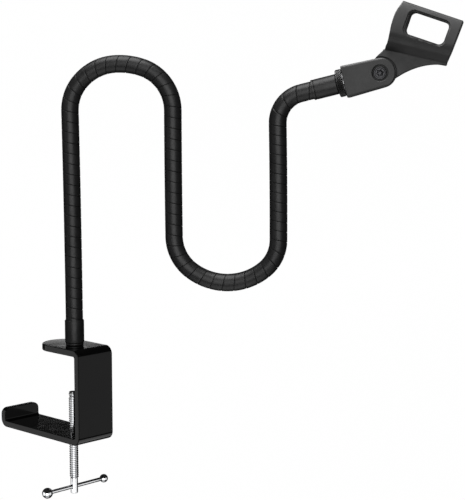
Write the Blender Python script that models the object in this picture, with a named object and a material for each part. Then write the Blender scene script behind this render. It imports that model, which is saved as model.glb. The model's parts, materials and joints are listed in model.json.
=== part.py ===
"""Gooseneck microphone stand: a bent-steel desk clamp, a semi-rigid gooseneck and a tilting clip.

Metres, +Z up. The origin lies on the clamp's desk face, the underside of its top plate. The clamp's
throat opens towards -X and its strap is as wide as Y. The gooseneck lies in a vertical plane that
holds Z and is turned from +X towards +Y by NECK_TURN.
"""

import math

import bpy

MM = 0.001
GAP = 0.3 * MM  # clearance between pieces that touch
OVER = 2 * MM  # how far a cutter runs past what it cuts

# clamp bracket: one strap bent to a C, with a short lip at the end of the lower plate
STRAP_WIDTH = 35 * MM
STRAP_THICKNESS = 5 * MM
BEND_INNER_RADIUS = 1.5 * MM
THROAT = 65 * MM
WEB_X = 37.5 * MM  # outer face of the web
LOWER_REACH = 99 * MM  # web's outer face to the lip's outer face
LIP_HEIGHT = 15.2 * MM  # above the lower plate's underside
LIP_CORNER = 5 * MM
BOTTOM_Z = -THROAT - STRAP_THICKNESS

# clamp screw and its handle
SCREW_X = 9.9 * MM
SCREW_RADIUS = 3.6 * MM
SCREW_TIP_Z = -33 * MM
SCREW_BUTTON = 4 * MM  # length of the swivelling tip
BUTTON_PIN_RADIUS = 1.6 * MM
BUTTON_ROOF = 1.2 * MM  # metal left between the pin and the button's face
EDGE_CHAMFER = 0.5 * MM
THREAD_END_Z = -103.2 * MM
HEAD_RADIUS = 2.9 * MM
HEAD_END_Z = -115.4 * MM
BAR_Z = -110.1 * MM
BAR_RADIUS = 1.55 * MM
BAR_ENDS = (-27.1 * MM, 30.8 * MM)  # ball centres along Y
BALL_RADII = (4.3 * MM, 3.5 * MM)

# gooseneck: an outer hose of wound strip over a soft core, as a chain of short links
NECK_X = 12.8 * MM
NECK_TURN = math.radians(34)
HOSE_RADIUS = 6.75 * MM
HOSE_BORE = 5.1 * MM
CORE_RADIUS = 2.0 * MM
CORE_BALL = 4.4 * MM
CORE_IN_BALL = 0.9  # share of the ball's radius at which the core's rod runs into it
BEND_STEP = math.radians(11.25)  # turn between the rings of points along a bent hose
NECK_START_Z = STRAP_THICKNESS
CLIP_RISE = 14  # degrees of the clip barrel's axis above the horizontal
LEGS = ((183 * MM, 0.8), (96.4 * MM, 0.6), (88.3 * MM, 1.2), (9.2 * MM, 0))  # length, degrees of bow
ARCH_1 = ((33.3 * MM, 40), (39.6 * MM, 46.5), (58.5 * MM, 22), (34.3 * MM, 72.3))  # radius, degrees
ARCH_2 = ((32.7 * MM, 54), (46.5 * MM, 75.4), (29.6 * MM, 50))
ARCH_3 = ((23 * MM, 90 + LEGS[2][1] - CLIP_RISE),)
ARCH_HINGES = ((4, -5, 45), (4, -5, 45), (2, -8, 38))  # how many, and degrees closed and opened
SWING = 20  # degrees either way at the foot and in the middle of each leg
BASE_HINGE_AT = 40 * MM
LEG_1_HINGE_AT = 95 * MM

# collars at the gooseneck's ends
COLLAR_RADIUS = 7.6 * MM
BASE_RING_HEIGHT = 1.6 * MM
COLLAR_TOP_Z = 24.7 * MM
SOCKET_DEPTH = 8 * MM
FERRULE_RADIUS = 7.6 * MM
FERRULE_LENGTH = 18.9 * MM
FIXING_RADIUS = 2.7 * MM
FIXING_HEAD = 5 * MM
FIXING_SUNK = 0.2 * MM  # the countersunk head's face above the desk face
FIXING_SOCKET = (1.7 * MM, 2 * MM)  # radius and depth
FIXING_TOP_Z = 14 * MM

# clip: places along the barrel's axis, counted from the ferrule's start
STUD_RADIUS = 7.7 * MM
STUD_SHANK = 5 * MM
STUD_END = 38 * MM
RING_START, RING_END = 19.3 * MM, 24.0 * MM
RING_RADIUS = 10.4 * MM
BARREL_START = 24.7 * MM
BARREL_HALF_HEIGHT = 12.1 * MM  # at its start; it tapers to the ears' round end
BARREL_CORNER_RADII = (15.2 * MM, 14.2 * MM)  # cone that takes the block's long corners off
BARREL_CHAMFER = 0.8 * MM
INSERT_RADIUS = 9.3 * MM
INSERT_END = 38.5 * MM
PIVOT_AT = 52.2 * MM
EAR_RADIUS = 11.0 * MM
EAR_FACE = 10.2 * MM  # the ears' flat outer faces, either side of the middle plane
TONGUE_HALF = 3.8 * MM
WEB_HALF = 4.7 * MM
TONGUE_RADIUS = 10.0 * MM
WASHER_THICKNESS = 0.6 * MM
WASHER_RADIUS = 8 * MM
SLOT_HALF = TONGUE_HALF + WASHER_THICKNESS + 2 * GAP
RECESS_RADIUS = 12 * MM  # about the pivot, where the web thins to the tongue
PIVOT_RADIUS = 2.5 * MM
PIVOT_HEAD_RADIUS = 4.8 * MM
PIVOT_HEAD_HEIGHT = 2.5 * MM
PIVOT_RECESS_RADIUS = 6.0 * MM
PIVOT_SOCKET_RADIUS = 2.2 * MM
PIVOT_SOCKET_DEPTH = 1.6 * MM
NUT_FLATS = 8 * MM
NUT_HEIGHT = 3.6 * MM

# cradle: X along the microphone, Z out of the open side, from the pivot
CRADLE_TILT = -18.8  # degrees of the cradle's X above the horizontal
CRADLE_ENDS = (-3.1 * MM, 44.6 * MM)
CRADLE_FLOORS = (15.7 * MM, 20.3 * MM)
CRADLE_HALF_WIDTHS = (17.5 * MM, 15.8 * MM)
CRADLE_TOP = 54.6 * MM
CRADLE_WALL = 2.6 * MM
JAW_CURVE = 2.4  # radius of the jaws over half the trough's width
SHOULDER_RISE = 10 * MM  # from the floor to where the walls turn in
FLOOR_HALF = 2.5 * MM  # flat part of the floor
SHOULDER_REACH = 4 * MM  # rounding of the shoulders, along each side
WINDOW_X = (6.6 * MM, 36.3 * MM)
WINDOW_Z = (32.9 * MM, 49.8 * MM)
WINDOW_CORNER = 4 * MM
WEB_SUNK = 1.3 * MM  # how far the web runs into the trough's floor
WEB_INSET = 1.2 * MM  # web's ends, short of the trough's ends
WEB_MEET = 0.3 * MM  # how far inside the trough its curved edges stop
WEB_UNDERSIDE = ((9.0 * MM, -4.3 * MM), (15.2 * MM, 6.6 * MM), (28 * MM, 18.2 * MM))
WEB_BACK = ((-5.2 * MM, 12.2 * MM), (-7.9 * MM, 9.4 * MM), (-9.2 * MM, 3.8 * MM))
TONGUE_ARC = (158, 335)  # degrees of the tongue's round end about the pivot

BLACK_PAINT = (0.016, 0.016, 0.017)
BLACK_PLASTIC = (0.030, 0.030, 0.031)
CHROME = (0.78, 0.79, 0.80)
STEEL = (0.42, 0.42, 0.43)
BRASS = (0.66, 0.48, 0.22)


def material(name, color, roughness, metallic):
    """A Principled material, made once for each name."""
    made = bpy.data.materials.get(name)
    if made is None:
        made = bpy.data.materials.new(name)
        made.use_nodes = True
        shader = made.node_tree.nodes["Principled BSDF"]
        shader.inputs["Base Color"].default_value = (*color, 1)
        shader.inputs["Roughness"].default_value = roughness
        shader.inputs["Metallic"].default_value = metallic
    return made


def gloss_paint():
    return material("gloss_black_paint", BLACK_PAINT, 0.15, 0.0)


def neck_finish():
    return material("satin_black_neck", BLACK_PLASTIC, 0.45, 0.0)


def black_plastic():
    return material("black_plastic", BLACK_PLASTIC, 0.4, 0.0)


def chrome():
    return material("chrome", CHROME, 0.08, 1.0)


def steel():
    return material("steel", STEEL, 0.3, 1.0)


def brass():
    return material("brass", BRASS, 0.3, 1.0)


def add_object(name, verts, faces, finish, parent=None):
    """A named object from points and faces, shaded smooth where it is round."""
    mesh = bpy.data.meshes.new(name)
    mesh.from_pydata([tuple(v) for v in verts], [], faces)
    mesh.materials.append(finish)
    mesh.shade_smooth()
    mesh.set_sharp_from_angle(angle=math.radians(35))
    obj = bpy.data.objects.new(name, mesh)
    bpy.context.collection.objects.link(obj)
    obj.parent = parent
    return obj


def cut(obj, *cutters, keep="DIFFERENCE"):
    """Boolean modifiers that take the cutters away from obj, or join them to it."""
    for cutter in cutters:
        step = obj.modifiers.new(cutter.name, "BOOLEAN")
        step.operation = keep
        step.object = cutter
        cutter.hide_render = True
        cutter.display_type = "WIRE"


def turned(name, profile, sides, finish, parent=None, ring=False):
    """A body turned about its own Z from (radius, height) points, counted anticlockwise.

    A solid profile starts and ends on the axis. A ring's profile never meets the axis and closes
    on itself.
    """
    verts, rows, faces = [], [], []
    for radius, height in profile:
        if radius == 0:
            rows.append([len(verts)] * sides)
            verts.append((0, 0, height))
            continue
        rows.append(list(range(len(verts), len(verts) + sides)))
        for i in range(sides):
            angle = 2 * math.pi * (i + 0.5) / sides
            verts.append((radius * math.cos(angle), radius * math.sin(angle), height))
    pairs = list(zip(rows, rows[1:]))
    if ring:
        pairs.append((rows[-1], rows[0]))
    for low, high in pairs:
        for i in range(sides):
            j = (i + 1) % sides
            corners = dict.fromkeys((low[i], low[j], high[j], high[i]))
            if len(corners) > 2:
                faces.append(tuple(corners))
    return add_object(name, verts, faces, finish, parent)


def prism(name, outline, low, high, finish, parent=None):
    """An outline of (x, z) points, anticlockwise seen from -Y, from y = low to y = high."""
    count = len(outline)
    verts = [(x, y, z) for y in (low, high) for x, z in outline]
    faces = [tuple(range(count)), tuple(reversed(range(count, 2 * count)))]
    for i in range(count):
        j = (i + 1) % count
        faces.append((i, i + count, j + count, j))
    return add_object(name, verts, faces, finish, parent)


def arc(centre, radius, start, end, steps):
    """Points on an arc from start to end degrees, both ends included."""
    points = []
    for i in range(steps + 1):
        angle = math.radians(start + (end - start) * i / steps)
        points.append((centre[0] + radius * math.cos(angle), centre[1] + radius * math.sin(angle)))
    return points


def bezier(p0, p1, p2, p3, steps):
    """Points on a cubic Bezier curve, both ends included."""
    points = []
    for i in range(steps + 1):
        t = i / steps
        weights = ((1 - t) ** 3, 3 * t * (1 - t) ** 2, 3 * t * t * (1 - t), t**3)
        points.append(tuple(sum(w * p[k] for w, p in zip(weights, (p0, p1, p2, p3))) for k in (0, 1)))
    return points


def empty(name, location, rotation, parent=None):
    """A guide that its children are placed by."""
    guide = bpy.data.objects.new(name, None)
    bpy.context.collection.objects.link(guide)
    guide.location = location
    guide.rotation_euler = rotation
    guide.parent = parent
    return guide


# ---- the clamp ----


def bracket_profile():
    """The bent strap's side outline in X and Z."""
    inner, outer = BEND_INNER_RADIUS, BEND_INNER_RADIUS + STRAP_THICKNESS
    lip_x = WEB_X - LOWER_REACH
    top, floor = STRAP_THICKNESS, -THROAT
    free_end = -STRAP_WIDTH / 2
    lip_top = BOTTOM_Z + LIP_HEIGHT
    web_inner = WEB_X - STRAP_THICKNESS
    lip_inner = lip_x + STRAP_THICKNESS
    steps = 5
    outline = [(free_end, top), (free_end, 0)]
    outline += arc((web_inner - inner, -inner), inner, 90, 0, steps)
    outline += arc((web_inner - inner, floor + inner), inner, 0, -90, steps)
    outline += arc((lip_inner + inner, floor + inner), inner, 270, 180, steps)
    outline += [(lip_inner, lip_top), (lip_x, lip_top)]
    outline += arc((lip_x + outer, BOTTOM_Z + outer), outer, 180, 270, steps)
    outline += arc((WEB_X - outer, BOTTOM_Z + outer), outer, -90, 0, steps)
    outline += arc((WEB_X - outer, top - outer), outer, 0, 90, steps)
    return outline


def free_end_trimmer():
    """Cutter that rounds the top plate's free end to a semicircle."""
    half = STRAP_WIDTH / 2
    outline = [(OVER, half + OVER), (-half - OVER, half + OVER), (-half - OVER, -half - OVER)]
    outline += [(OVER, -half - OVER), (OVER, -half)]
    outline += arc((0, 0), half, -90, -270, 20)
    outline += [(OVER, half)]
    cutter = prism("cut_free_end", outline, -STRAP_THICKNESS - OVER, OVER, gloss_paint())
    cutter.rotation_euler = (-math.pi / 2, 0, 0)
    return cutter


def lip_trimmer(side):
    """Cutter that rounds the lip's upper corner on the -Y or +Y side."""
    half = STRAP_WIDTH / 2
    lip_x = WEB_X - LOWER_REACH
    lip_top = BOTTOM_Z + LIP_HEIGHT
    y, inside = side * half, side * (half - LIP_CORNER)
    outline = [(y, lip_top + OVER), (y + side * OVER, lip_top + OVER)]
    outline += [(y + side * OVER, lip_top - LIP_CORNER), (y, lip_top - LIP_CORNER)]
    start = 0 if side > 0 else 180
    outline += arc((inside, lip_top - LIP_CORNER), LIP_CORNER, start, 90, 5)[1:]
    outline += [(inside, lip_top + OVER)]
    name = "cut_lip_left"
    if side > 0:
        outline.reverse()
        name = "cut_lip_right"
    cutter = prism(name, outline, -lip_x - STRAP_THICKNESS - OVER, OVER - lip_x, gloss_paint())
    cutter.rotation_euler = (0, 0, math.pi / 2)
    return cutter


def countersink(name, extra):
    """The fixing screw's shank and cone, larger all round by extra."""
    cone_end = FIXING_SUNK + FIXING_HEAD - FIXING_RADIUS
    profile = [(0, FIXING_SUNK), (FIXING_HEAD + extra, FIXING_SUNK)]
    if extra:
        profile = [(0, -OVER), (FIXING_HEAD + extra, -OVER), (FIXING_HEAD + extra, FIXING_SUNK)]
    profile += [(FIXING_RADIUS + extra, cone_end)]
    profile += [(FIXING_RADIUS + extra, FIXING_TOP_Z + extra), (0, FIXING_TOP_Z + extra)]
    body = turned(name, profile, 20, steel())
    body.location = (NECK_X, 0, 0)
    return body


def pin(name, radius, low, high, sides, finish, parent=None):
    """A plain cylinder about its own Z."""
    return turned(name, [(0, low), (radius, low), (radius, high), (0, high)], sides, finish, parent)


def make_bracket():
    half = STRAP_WIDTH / 2
    bracket = prism("clamp_bracket", bracket_profile(), -half, half, gloss_paint())
    hole = pin("cut_screw_hole", SCREW_RADIUS + GAP, BOTTOM_Z - OVER, OVER - THROAT, 20, gloss_paint())
    hole.location = (SCREW_X, 0, 0)
    fixing_hole = countersink("cut_fixing_hole", GAP)
    cut(bracket, free_end_trimmer(), lip_trimmer(-1), lip_trimmer(1), fixing_hole, hole)


def make_fixing_screw():
    """Countersunk screw that holds the gooseneck's collar, with a hexagon socket."""
    screw = countersink("neck_fixing_screw", 0)
    radius, depth = FIXING_SOCKET
    socket = pin("cut_fixing_socket", radius, -OVER, depth, 6, steel())
    socket.location = (NECK_X, 0, 0)
    cut(screw, socket)


def make_base():
    """Ring and collar at the gooseneck's foot. The hose stands in the collar's upper socket."""
    low = STRAP_THICKNESS + GAP
    ring_top = low + BASE_RING_HEIGHT
    bore = FIXING_RADIUS + GAP
    ring_radius = COLLAR_RADIUS - EDGE_CHAMFER
    profile = [(bore, low), (ring_radius, low), (ring_radius, ring_top), (bore, ring_top)]
    ring = turned("base_ring", profile, 24, neck_finish(), ring=True)
    floor = COLLAR_TOP_Z - SOCKET_DEPTH
    start = ring_top + GAP
    profile = [(bore, start), (COLLAR_RADIUS, start), (COLLAR_RADIUS, COLLAR_TOP_Z)]
    profile += [(HOSE_RADIUS + GAP, COLLAR_TOP_Z), (HOSE_RADIUS + GAP, floor), (bore, floor)]
    collar = turned("base_collar", profile, 24, neck_finish(), ring=True)
    for piece in (ring, collar):
        piece.location = (NECK_X, 0, 0)


def make_clamp_screw():
    """Threaded rod with a plain head, and the swivelling button on its upper end."""
    shoulder = SCREW_TIP_Z - SCREW_BUTTON
    pin_top = SCREW_TIP_Z - BUTTON_ROOF
    profile = [(0, HEAD_END_Z), (HEAD_RADIUS - EDGE_CHAMFER, HEAD_END_Z)]
    profile += [(HEAD_RADIUS, HEAD_END_Z + EDGE_CHAMFER), (HEAD_RADIUS, THREAD_END_Z)]
    profile += [(SCREW_RADIUS, THREAD_END_Z + SCREW_RADIUS - HEAD_RADIUS), (SCREW_RADIUS, shoulder)]
    profile += [(BUTTON_PIN_RADIUS, shoulder), (BUTTON_PIN_RADIUS, pin_top), (0, pin_top)]
    screw = turned("clamp_screw", profile, 20, chrome())
    hole = pin("cut_bar_hole", BAR_RADIUS + GAP, -HEAD_RADIUS - OVER, HEAD_RADIUS + OVER, 12, chrome())
    hole.rotation_euler = (math.pi / 2, 0, 0)
    hole.location = (SCREW_X, 0, BAR_Z)
    cut(screw, hole)
    bore = BUTTON_PIN_RADIUS + GAP
    low, roof = shoulder + GAP, pin_top + GAP
    profile = [(0, roof), (bore, roof), (bore, low), (SCREW_RADIUS, low)]
    profile += [(SCREW_RADIUS, SCREW_TIP_Z - EDGE_CHAMFER), (SCREW_RADIUS - EDGE_CHAMFER, SCREW_TIP_Z)]
    button = turned("screw_button", profile + [(0, SCREW_TIP_Z)], 20, chrome())
    for piece in (screw, button):
        piece.location = (SCREW_X, 0, 0)


def make_bar_ball(name, centre, radius, end):
    """Ball with a blind hole for the bar's end. end is the way that the hole looks along Y."""
    bore = BAR_RADIUS + GAP
    mouth = math.degrees(math.acos(bore / radius))
    profile = [(0, -radius)] + arc((0, 0), radius, -90, mouth, 9)[1:] + [(bore, -GAP), (0, -GAP)]
    ball = turned(name, profile, 18, chrome())
    ball.rotation_euler = (-math.pi / 2 * end, 0, 0)
    ball.location = (SCREW_X, centre, BAR_Z)


def make_tommy_bar():
    """Bar through the screw's head, with a ball on each end."""
    near, far = BAR_ENDS
    bar = pin("tommy_bar", BAR_RADIUS, near, far, 12, chrome())
    bar.rotation_euler = (-math.pi / 2, 0, 0)
    bar.location = (SCREW_X, 0, BAR_Z)
    make_bar_ball("bar_ball_near", near, BALL_RADII[0], 1)
    make_bar_ball("bar_ball_far", far, BALL_RADII[1], -1)


# ---- the gooseneck ----


def neck_parts():
    """Legs and arches by turns, each a list of (length, turn in radians) runs."""
    parts = []
    for (length, bow), arch, way in zip(LEGS, (ARCH_1, ARCH_2, ARCH_3, ()), (-1, 1, -1, 1)):
        parts.append([(length, math.radians(bow))])
        parts.append([(r * math.radians(turn), way * math.radians(turn)) for r, turn in arch])
    return parts


def neck_runs():
    return [run for part in neck_parts() for run in part]


def neck_length():
    return sum(length for length, turn in neck_runs())


def part_start(index):
    """Distance along the neck at which a leg or arch starts."""
    return sum(length for part in neck_parts()[:index] for length, turn in part)


def turned_by(index, share):
    """Distance along the neck at which an arch has made a share of its turn."""
    at = part_start(index)
    runs = neck_parts()[index]
    left = share * sum(abs(turn) for length, turn in runs)
    for length, turn in runs:
        if left <= abs(turn):
            return at + length * left / abs(turn)
        left -= abs(turn)
        at += length
    return at


def neck_frame(distance):
    """Place (x, z) and heading on the neck's centreline, in the neck's own plane."""
    x, z, heading = 0.0, NECK_START_Z, math.pi / 2
    for length, turn in neck_runs():
        part = min(distance, length)
        if turn:
            radius = length / turn
            after = heading + turn * part / length
            x += radius * (math.sin(after) - math.sin(heading))
            z -= radius * (math.cos(after) - math.cos(heading))
            heading = after
        else:
            x += part * math.cos(heading)
            z += part * math.sin(heading)
        distance -= part
        if distance <= 0:
            break
    return x, z, heading


def neck_joints():
    """The neck's hinges: name, distance along it, axis in the neck's frame, low and high degrees.

    A bend hinge turns in the neck's plane, a swing hinge turns out of it. On an arch, a positive
    angle straightens the neck.
    """
    toward, away, across = (0, -1, 0), (0, 1, 0), (1, 0, 0)
    joints = [("neck_bend_base", BASE_HINGE_AT, toward, -SWING, SWING)]
    joints.append(("neck_swing_leg_1", LEG_1_HINGE_AT, across, -SWING, SWING))
    for arch, (count, low, high) in enumerate(ARCH_HINGES, start=1):
        for i in range(count):
            at = turned_by(2 * arch - 1, (2 * i + 1) / (2 * count))
            axis = away if arch == 2 else toward
            joints.append((f"neck_bend_arch_{arch}_{i + 1}", at, axis, low, high))
        if arch < len(ARCH_HINGES):
            middle = part_start(2 * arch) + LEGS[arch][0] / 2
            joints.append((f"neck_swing_leg_{arch + 1}", middle, across, -SWING, SWING))
    return joints


def setback(joint):
    """How far the hose ends short of a hinge, so that its rims clear each other at full bend."""
    name, at, axis, low, high = joint
    return HOSE_RADIUS * math.tan(math.radians(max(high, -low)) / 2) + GAP


def stations(start, end):
    """Distances along the neck from start to end, close together where it bends."""
    shortest = 1.5 * MM
    marks = []
    at = 0
    for length, turn in neck_runs():
        steps = max(1, round(abs(turn) / BEND_STEP))
        marks += [at + length * i / steps for i in range(steps + 1)]
        at += length
    kept = [start]
    for mark in marks:
        if kept[-1] + shortest < mark < end - shortest:
            kept.append(mark)
    return kept + [end]


def swept(name, rows, sides, finish, parent, ring):
    """A body swept along the neck: rows of (distance, radius), closed on itself for a tube."""
    verts, loops, faces = [], [], []
    for distance, radius in rows:
        x, z, heading = neck_frame(distance)
        if radius == 0:
            loops.append([len(verts)] * sides)
            verts.append((x, 0, z))
            continue
        loops.append(list(range(len(verts), len(verts) + sides)))
        for i in range(sides):
            angle = 2 * math.pi * (i + 0.5) / sides
            side = radius * math.cos(angle)
            verts.append((x + side * math.sin(heading), radius * math.sin(angle),
                          z - side * math.cos(heading)))
    pairs = list(zip(loops, loops[1:]))
    if ring:
        pairs.append((loops[-1], loops[0]))
    for low, high in pairs:
        for i in range(sides):
            j = (i + 1) % sides
            corners = dict.fromkeys((low[i], low[j], high[j], high[i]))
            if len(corners) > 2:
                faces.append(tuple(corners))
    return add_object(name, verts, faces, finish, parent)


def make_hose(number, start, end, parent):
    marks = stations(start, end)
    rows = [(m, HOSE_RADIUS) for m in marks] + [(m, HOSE_BORE) for m in reversed(marks)]
    return swept(f"neck_hose_{number:02d}", rows, 16, neck_finish(), parent, ring=True)


def make_core(number, start, end, ball, parent):
    """A length of core that ends in a ball on the next hinge, or plain at the far ferrule."""
    rod_end = end - CORE_BALL * CORE_IN_BALL if ball else end
    rows = [(start, 0)] + [(m, CORE_RADIUS) for m in stations(start, rod_end)]
    if ball:
        for angle in (-50, -25, 0, 25, 50, 70):
            turn = math.radians(angle)
            rows.append((end + CORE_BALL * math.sin(turn), CORE_BALL * math.cos(turn)))
        rows.append((end + CORE_BALL, 0))
    else:
        rows.append((end, 0))
    return swept(f"neck_core_{number:02d}", rows, 10, steel(), parent, ring=False)


def make_neck(parent):
    """Hose and core links from the base collar's socket to the ferrule's."""
    joints = neck_joints()
    socket = COLLAR_TOP_Z - SOCKET_DEPTH - NECK_START_Z + GAP
    last = neck_length() + SOCKET_DEPTH - GAP
    hose_start = core_start = socket
    for number, joint in enumerate(joints, start=1):
        at = joint[1]
        make_hose(number, hose_start, at - setback(joint), parent)
        make_core(number, core_start, at, True, parent)
        hose_start = at + setback(joint)
        core_start = at + CORE_BALL + GAP
    make_hose(len(joints) + 1, hose_start, last, parent)
    make_core(len(joints) + 1, core_start, last, False, parent)


# ---- the clip: its guide has X along the barrel, from the ferrule's start ----


def along_x(name, profile, sides, finish, parent, ring=False):
    """A turned body whose axis is the clip guide's X."""
    body = turned(name, profile, sides, finish, parent, ring)
    body.rotation_euler = (0, math.pi / 2, 0)
    return body


def make_ferrule_and_stud(clip):
    socket = HOSE_RADIUS + GAP
    bore = STUD_SHANK + GAP
    profile = [(bore, SOCKET_DEPTH), (socket, SOCKET_DEPTH), (socket, 0), (FERRULE_RADIUS, 0)]
    profile += [(FERRULE_RADIUS, FERRULE_LENGTH), (bore, FERRULE_LENGTH)]
    along_x("top_ferrule", profile, 24, neck_finish(), clip, ring=True)
    low, shoulder = SOCKET_DEPTH + 3 * GAP, FERRULE_LENGTH + GAP
    profile = [(0, low), (STUD_SHANK, low), (STUD_SHANK, shoulder), (STUD_RADIUS, shoulder)]
    profile += [(STUD_RADIUS, STUD_END - MM), (STUD_RADIUS - MM, STUD_END), (0, STUD_END)]
    along_x("thread_stud", profile, 20, steel(), clip)


def make_lock_ring(clip):
    bore = STUD_RADIUS + GAP
    inner = RING_RADIUS - EDGE_CHAMFER
    profile = [(bore, RING_START), (inner, RING_START), (RING_RADIUS, RING_START + EDGE_CHAMFER)]
    profile += [(RING_RADIUS, RING_END - EDGE_CHAMFER), (inner, RING_END), (bore, RING_END)]
    along_x("lock_ring", profile, 28, black_plastic(), clip, ring=True)


def side_hole(name, radius, low, high, sides, parent):
    """A cutter along the pivot's axis, from y = low to y = high."""
    cutter = pin(name, radius, -high, -low, sides, steel(), parent)
    cutter.rotation_euler = (math.pi / 2, 0, 0)
    return cutter


def barrel_outline():
    """The fork's side outline: a tapering block with a round end about the pivot."""
    start, tall = BARREL_START, BARREL_HALF_HEIGHT
    outline = [(start + BARREL_CHAMFER, tall), (start, tall - BARREL_CHAMFER)]
    outline += [(start, BARREL_CHAMFER - tall), (start + BARREL_CHAMFER, -tall)]
    return outline + arc((PIVOT_AT, 0), EAR_RADIUS, -90, 90, 16)


def make_barrel(clip, pivot):
    """Fork: a flat-sided barrel with two ears round the cradle's tongue."""
    start, end, tall = BARREL_START, PIVOT_AT + EAR_RADIUS, BARREL_HALF_HEIGHT
    barrel = prism("clip_barrel", barrel_outline(), -EAR_FACE, EAR_FACE, black_plastic(), clip)
    wide, narrow = BARREL_CORNER_RADII
    profile = [(0, start - OVER), (wide, start - OVER), (narrow, end + OVER), (0, end + OVER)]
    corners = along_x("keep_round_corners", profile, 32, black_plastic(), clip)
    cut(barrel, corners, keep="INTERSECT")
    radius, floor = INSERT_RADIUS + GAP, INSERT_END + GAP
    profile = [(0, start - OVER), (radius, start - OVER), (radius, floor), (0, floor)]
    bore = along_x("cut_insert_bore", profile, 24, brass(), clip)
    slot_start = PIVOT_AT - TONGUE_RADIUS - 3 * GAP
    outline = [(slot_start, tall + OVER), (slot_start, -tall - OVER)]
    outline += [(end + OVER, -tall - OVER), (end + OVER, tall + OVER)]
    slot = prism("cut_tongue_slot", outline, -SLOT_HALF, SLOT_HALF, black_plastic(), clip)
    outside = EAR_FACE + OVER
    hole = side_hole("cut_pivot_hole", PIVOT_RADIUS + GAP, -outside, outside, 16, pivot)
    recess_floor = EAR_FACE - PIVOT_HEAD_HEIGHT - GAP
    recess = side_hole("cut_head_recess", PIVOT_RECESS_RADIUS, -outside, -recess_floor, 24, pivot)
    nut_floor = EAR_FACE - NUT_HEIGHT - GAP
    nut_radius = (NUT_FLATS / 2 + GAP) / math.cos(math.pi / 6)
    pocket = side_hole("cut_nut_pocket", nut_radius, nut_floor, outside, 6, pivot)
    cut(barrel, bore, slot, hole, recess, pocket)


def make_insert(clip):
    bore = STUD_RADIUS + GAP
    start = BARREL_START + EDGE_CHAMFER
    profile = [(bore, start), (INSERT_RADIUS, start), (INSERT_RADIUS, INSERT_END), (bore, INSERT_END)]
    along_x("thread_insert", profile, 24, brass(), clip, ring=True)


def make_pivot(pivot):
    """Screw from the near ear, nut in the far ear and a friction washer either side of the tongue."""
    head_floor = EAR_FACE - PIVOT_HEAD_HEIGHT
    nut_face = EAR_FACE - NUT_HEIGHT
    edge = EAR_FACE - EDGE_CHAMFER
    profile = [(0, -edge), (PIVOT_RADIUS, -edge), (PIVOT_RADIUS, head_floor)]
    profile += [(PIVOT_HEAD_RADIUS, head_floor), (PIVOT_HEAD_RADIUS, edge)]
    profile += [(PIVOT_HEAD_RADIUS - EDGE_CHAMFER, EAR_FACE), (0, EAR_FACE)]
    screw = turned("pivot_screw", profile, 20, steel(), pivot)
    socket = pin("cut_pivot_socket", PIVOT_SOCKET_RADIUS, EAR_FACE - PIVOT_SOCKET_DEPTH, EAR_FACE + OVER,
                 6, steel(), pivot)
    cut(screw, socket)
    bore = PIVOT_RADIUS + GAP
    nut = pin("pivot_nut", NUT_FLATS / 2 / math.cos(math.pi / 6), -EAR_FACE, -nut_face, 6, steel(), pivot)
    nut_bore = pin("cut_nut_bore", bore, -EAR_FACE - OVER, OVER - nut_face, 16, steel(), pivot)
    cut(nut, nut_bore)
    pieces = [screw, socket, nut, nut_bore]
    for name, side in (("friction_washer_near", 1), ("friction_washer_far", -1)):
        low = TONGUE_HALF + GAP if side > 0 else -TONGUE_HALF - GAP - WASHER_THICKNESS
        high = low + WASHER_THICKNESS
        profile = [(bore, low), (WASHER_RADIUS, low), (WASHER_RADIUS, high), (bore, high)]
        pieces.append(turned(name, profile, 20, black_plastic(), pivot, ring=True))
    for piece in pieces:
        piece.rotation_euler = (math.pi / 2, 0, 0)


# ---- the cradle: its guide has X along the microphone and Z out of the open side ----


def rounded(corner, before, after, reach, steps=4):
    """A corner between two points, rounded from reach before it to reach after it."""
    ends = []
    for other in (before, after):
        away = math.dist(corner, other)
        ends.append([c + (o - c) * reach / away for c, o in zip(corner, other)])
    points = []
    for i in range(steps + 1):
        t = i / steps
        weights = ((1 - t) ** 2, 2 * t * (1 - t), t * t)
        points.append(tuple(sum(w * p[k] for w, p in zip(weights, (ends[0], corner, ends[1])))
                            for k in (0, 1)))
    return points


def wall_line(radius, floor):
    """The trough wall's middle line as (y, z, normal y, normal z), from one jaw to the other.

    Each side has a jaw that curves in, an upright wall and a slope from its shoulder to the floor.
    """
    low = floor + CRADLE_WALL / 2
    centre = low + radius
    jaw = JAW_CURVE * radius
    rise = math.degrees(math.asin((CRADLE_TOP - CRADLE_WALL / 2 - centre) / jaw))
    side = arc((radius - jaw, centre), jaw, rise, 0, 4)
    shoulder, foot = (radius, low + SHOULDER_RISE), (FLOOR_HALF, low)
    side += rounded(shoulder, side[-1], foot, SHOULDER_REACH)
    side += rounded(foot, shoulder, (0, low), FLOOR_HALF / 2, 2)
    path = side + [(-y, z) for y, z in reversed(side)]
    points = []
    for before, (y, z), after in zip(path[:1] + path[:-1], path, path[1:] + path[-1:]):
        along_y, along_z = after[0] - before[0], after[1] - before[1]
        size = math.hypot(along_y, along_z)
        points.append((y, z, -along_z / size, along_y / size))
    return points


def trough_section(radius, floor):
    """The closed C outline, with a rounded tip on each jaw."""
    half = CRADLE_WALL / 2
    line = wall_line(radius, floor)
    outer = [(y + half * ny, z + half * nz) for y, z, ny, nz in line]
    inner = [(y - half * ny, z - half * nz) for y, z, ny, nz in line]
    tips = []
    for y, z, ny, nz in (line[-1], line[0]):
        along = (nz, -ny) if y < 0 else (-nz, ny)
        for turn in (45, 90, 135):
            a, b = half * math.cos(math.radians(turn)), half * math.sin(math.radians(turn))
            if y > 0:
                a = -a
            tips.append((y + a * ny + b * along[0], z + a * nz + b * along[1]))
    return outer + tips[:3] + list(reversed(inner)) + tips[3:]


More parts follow.
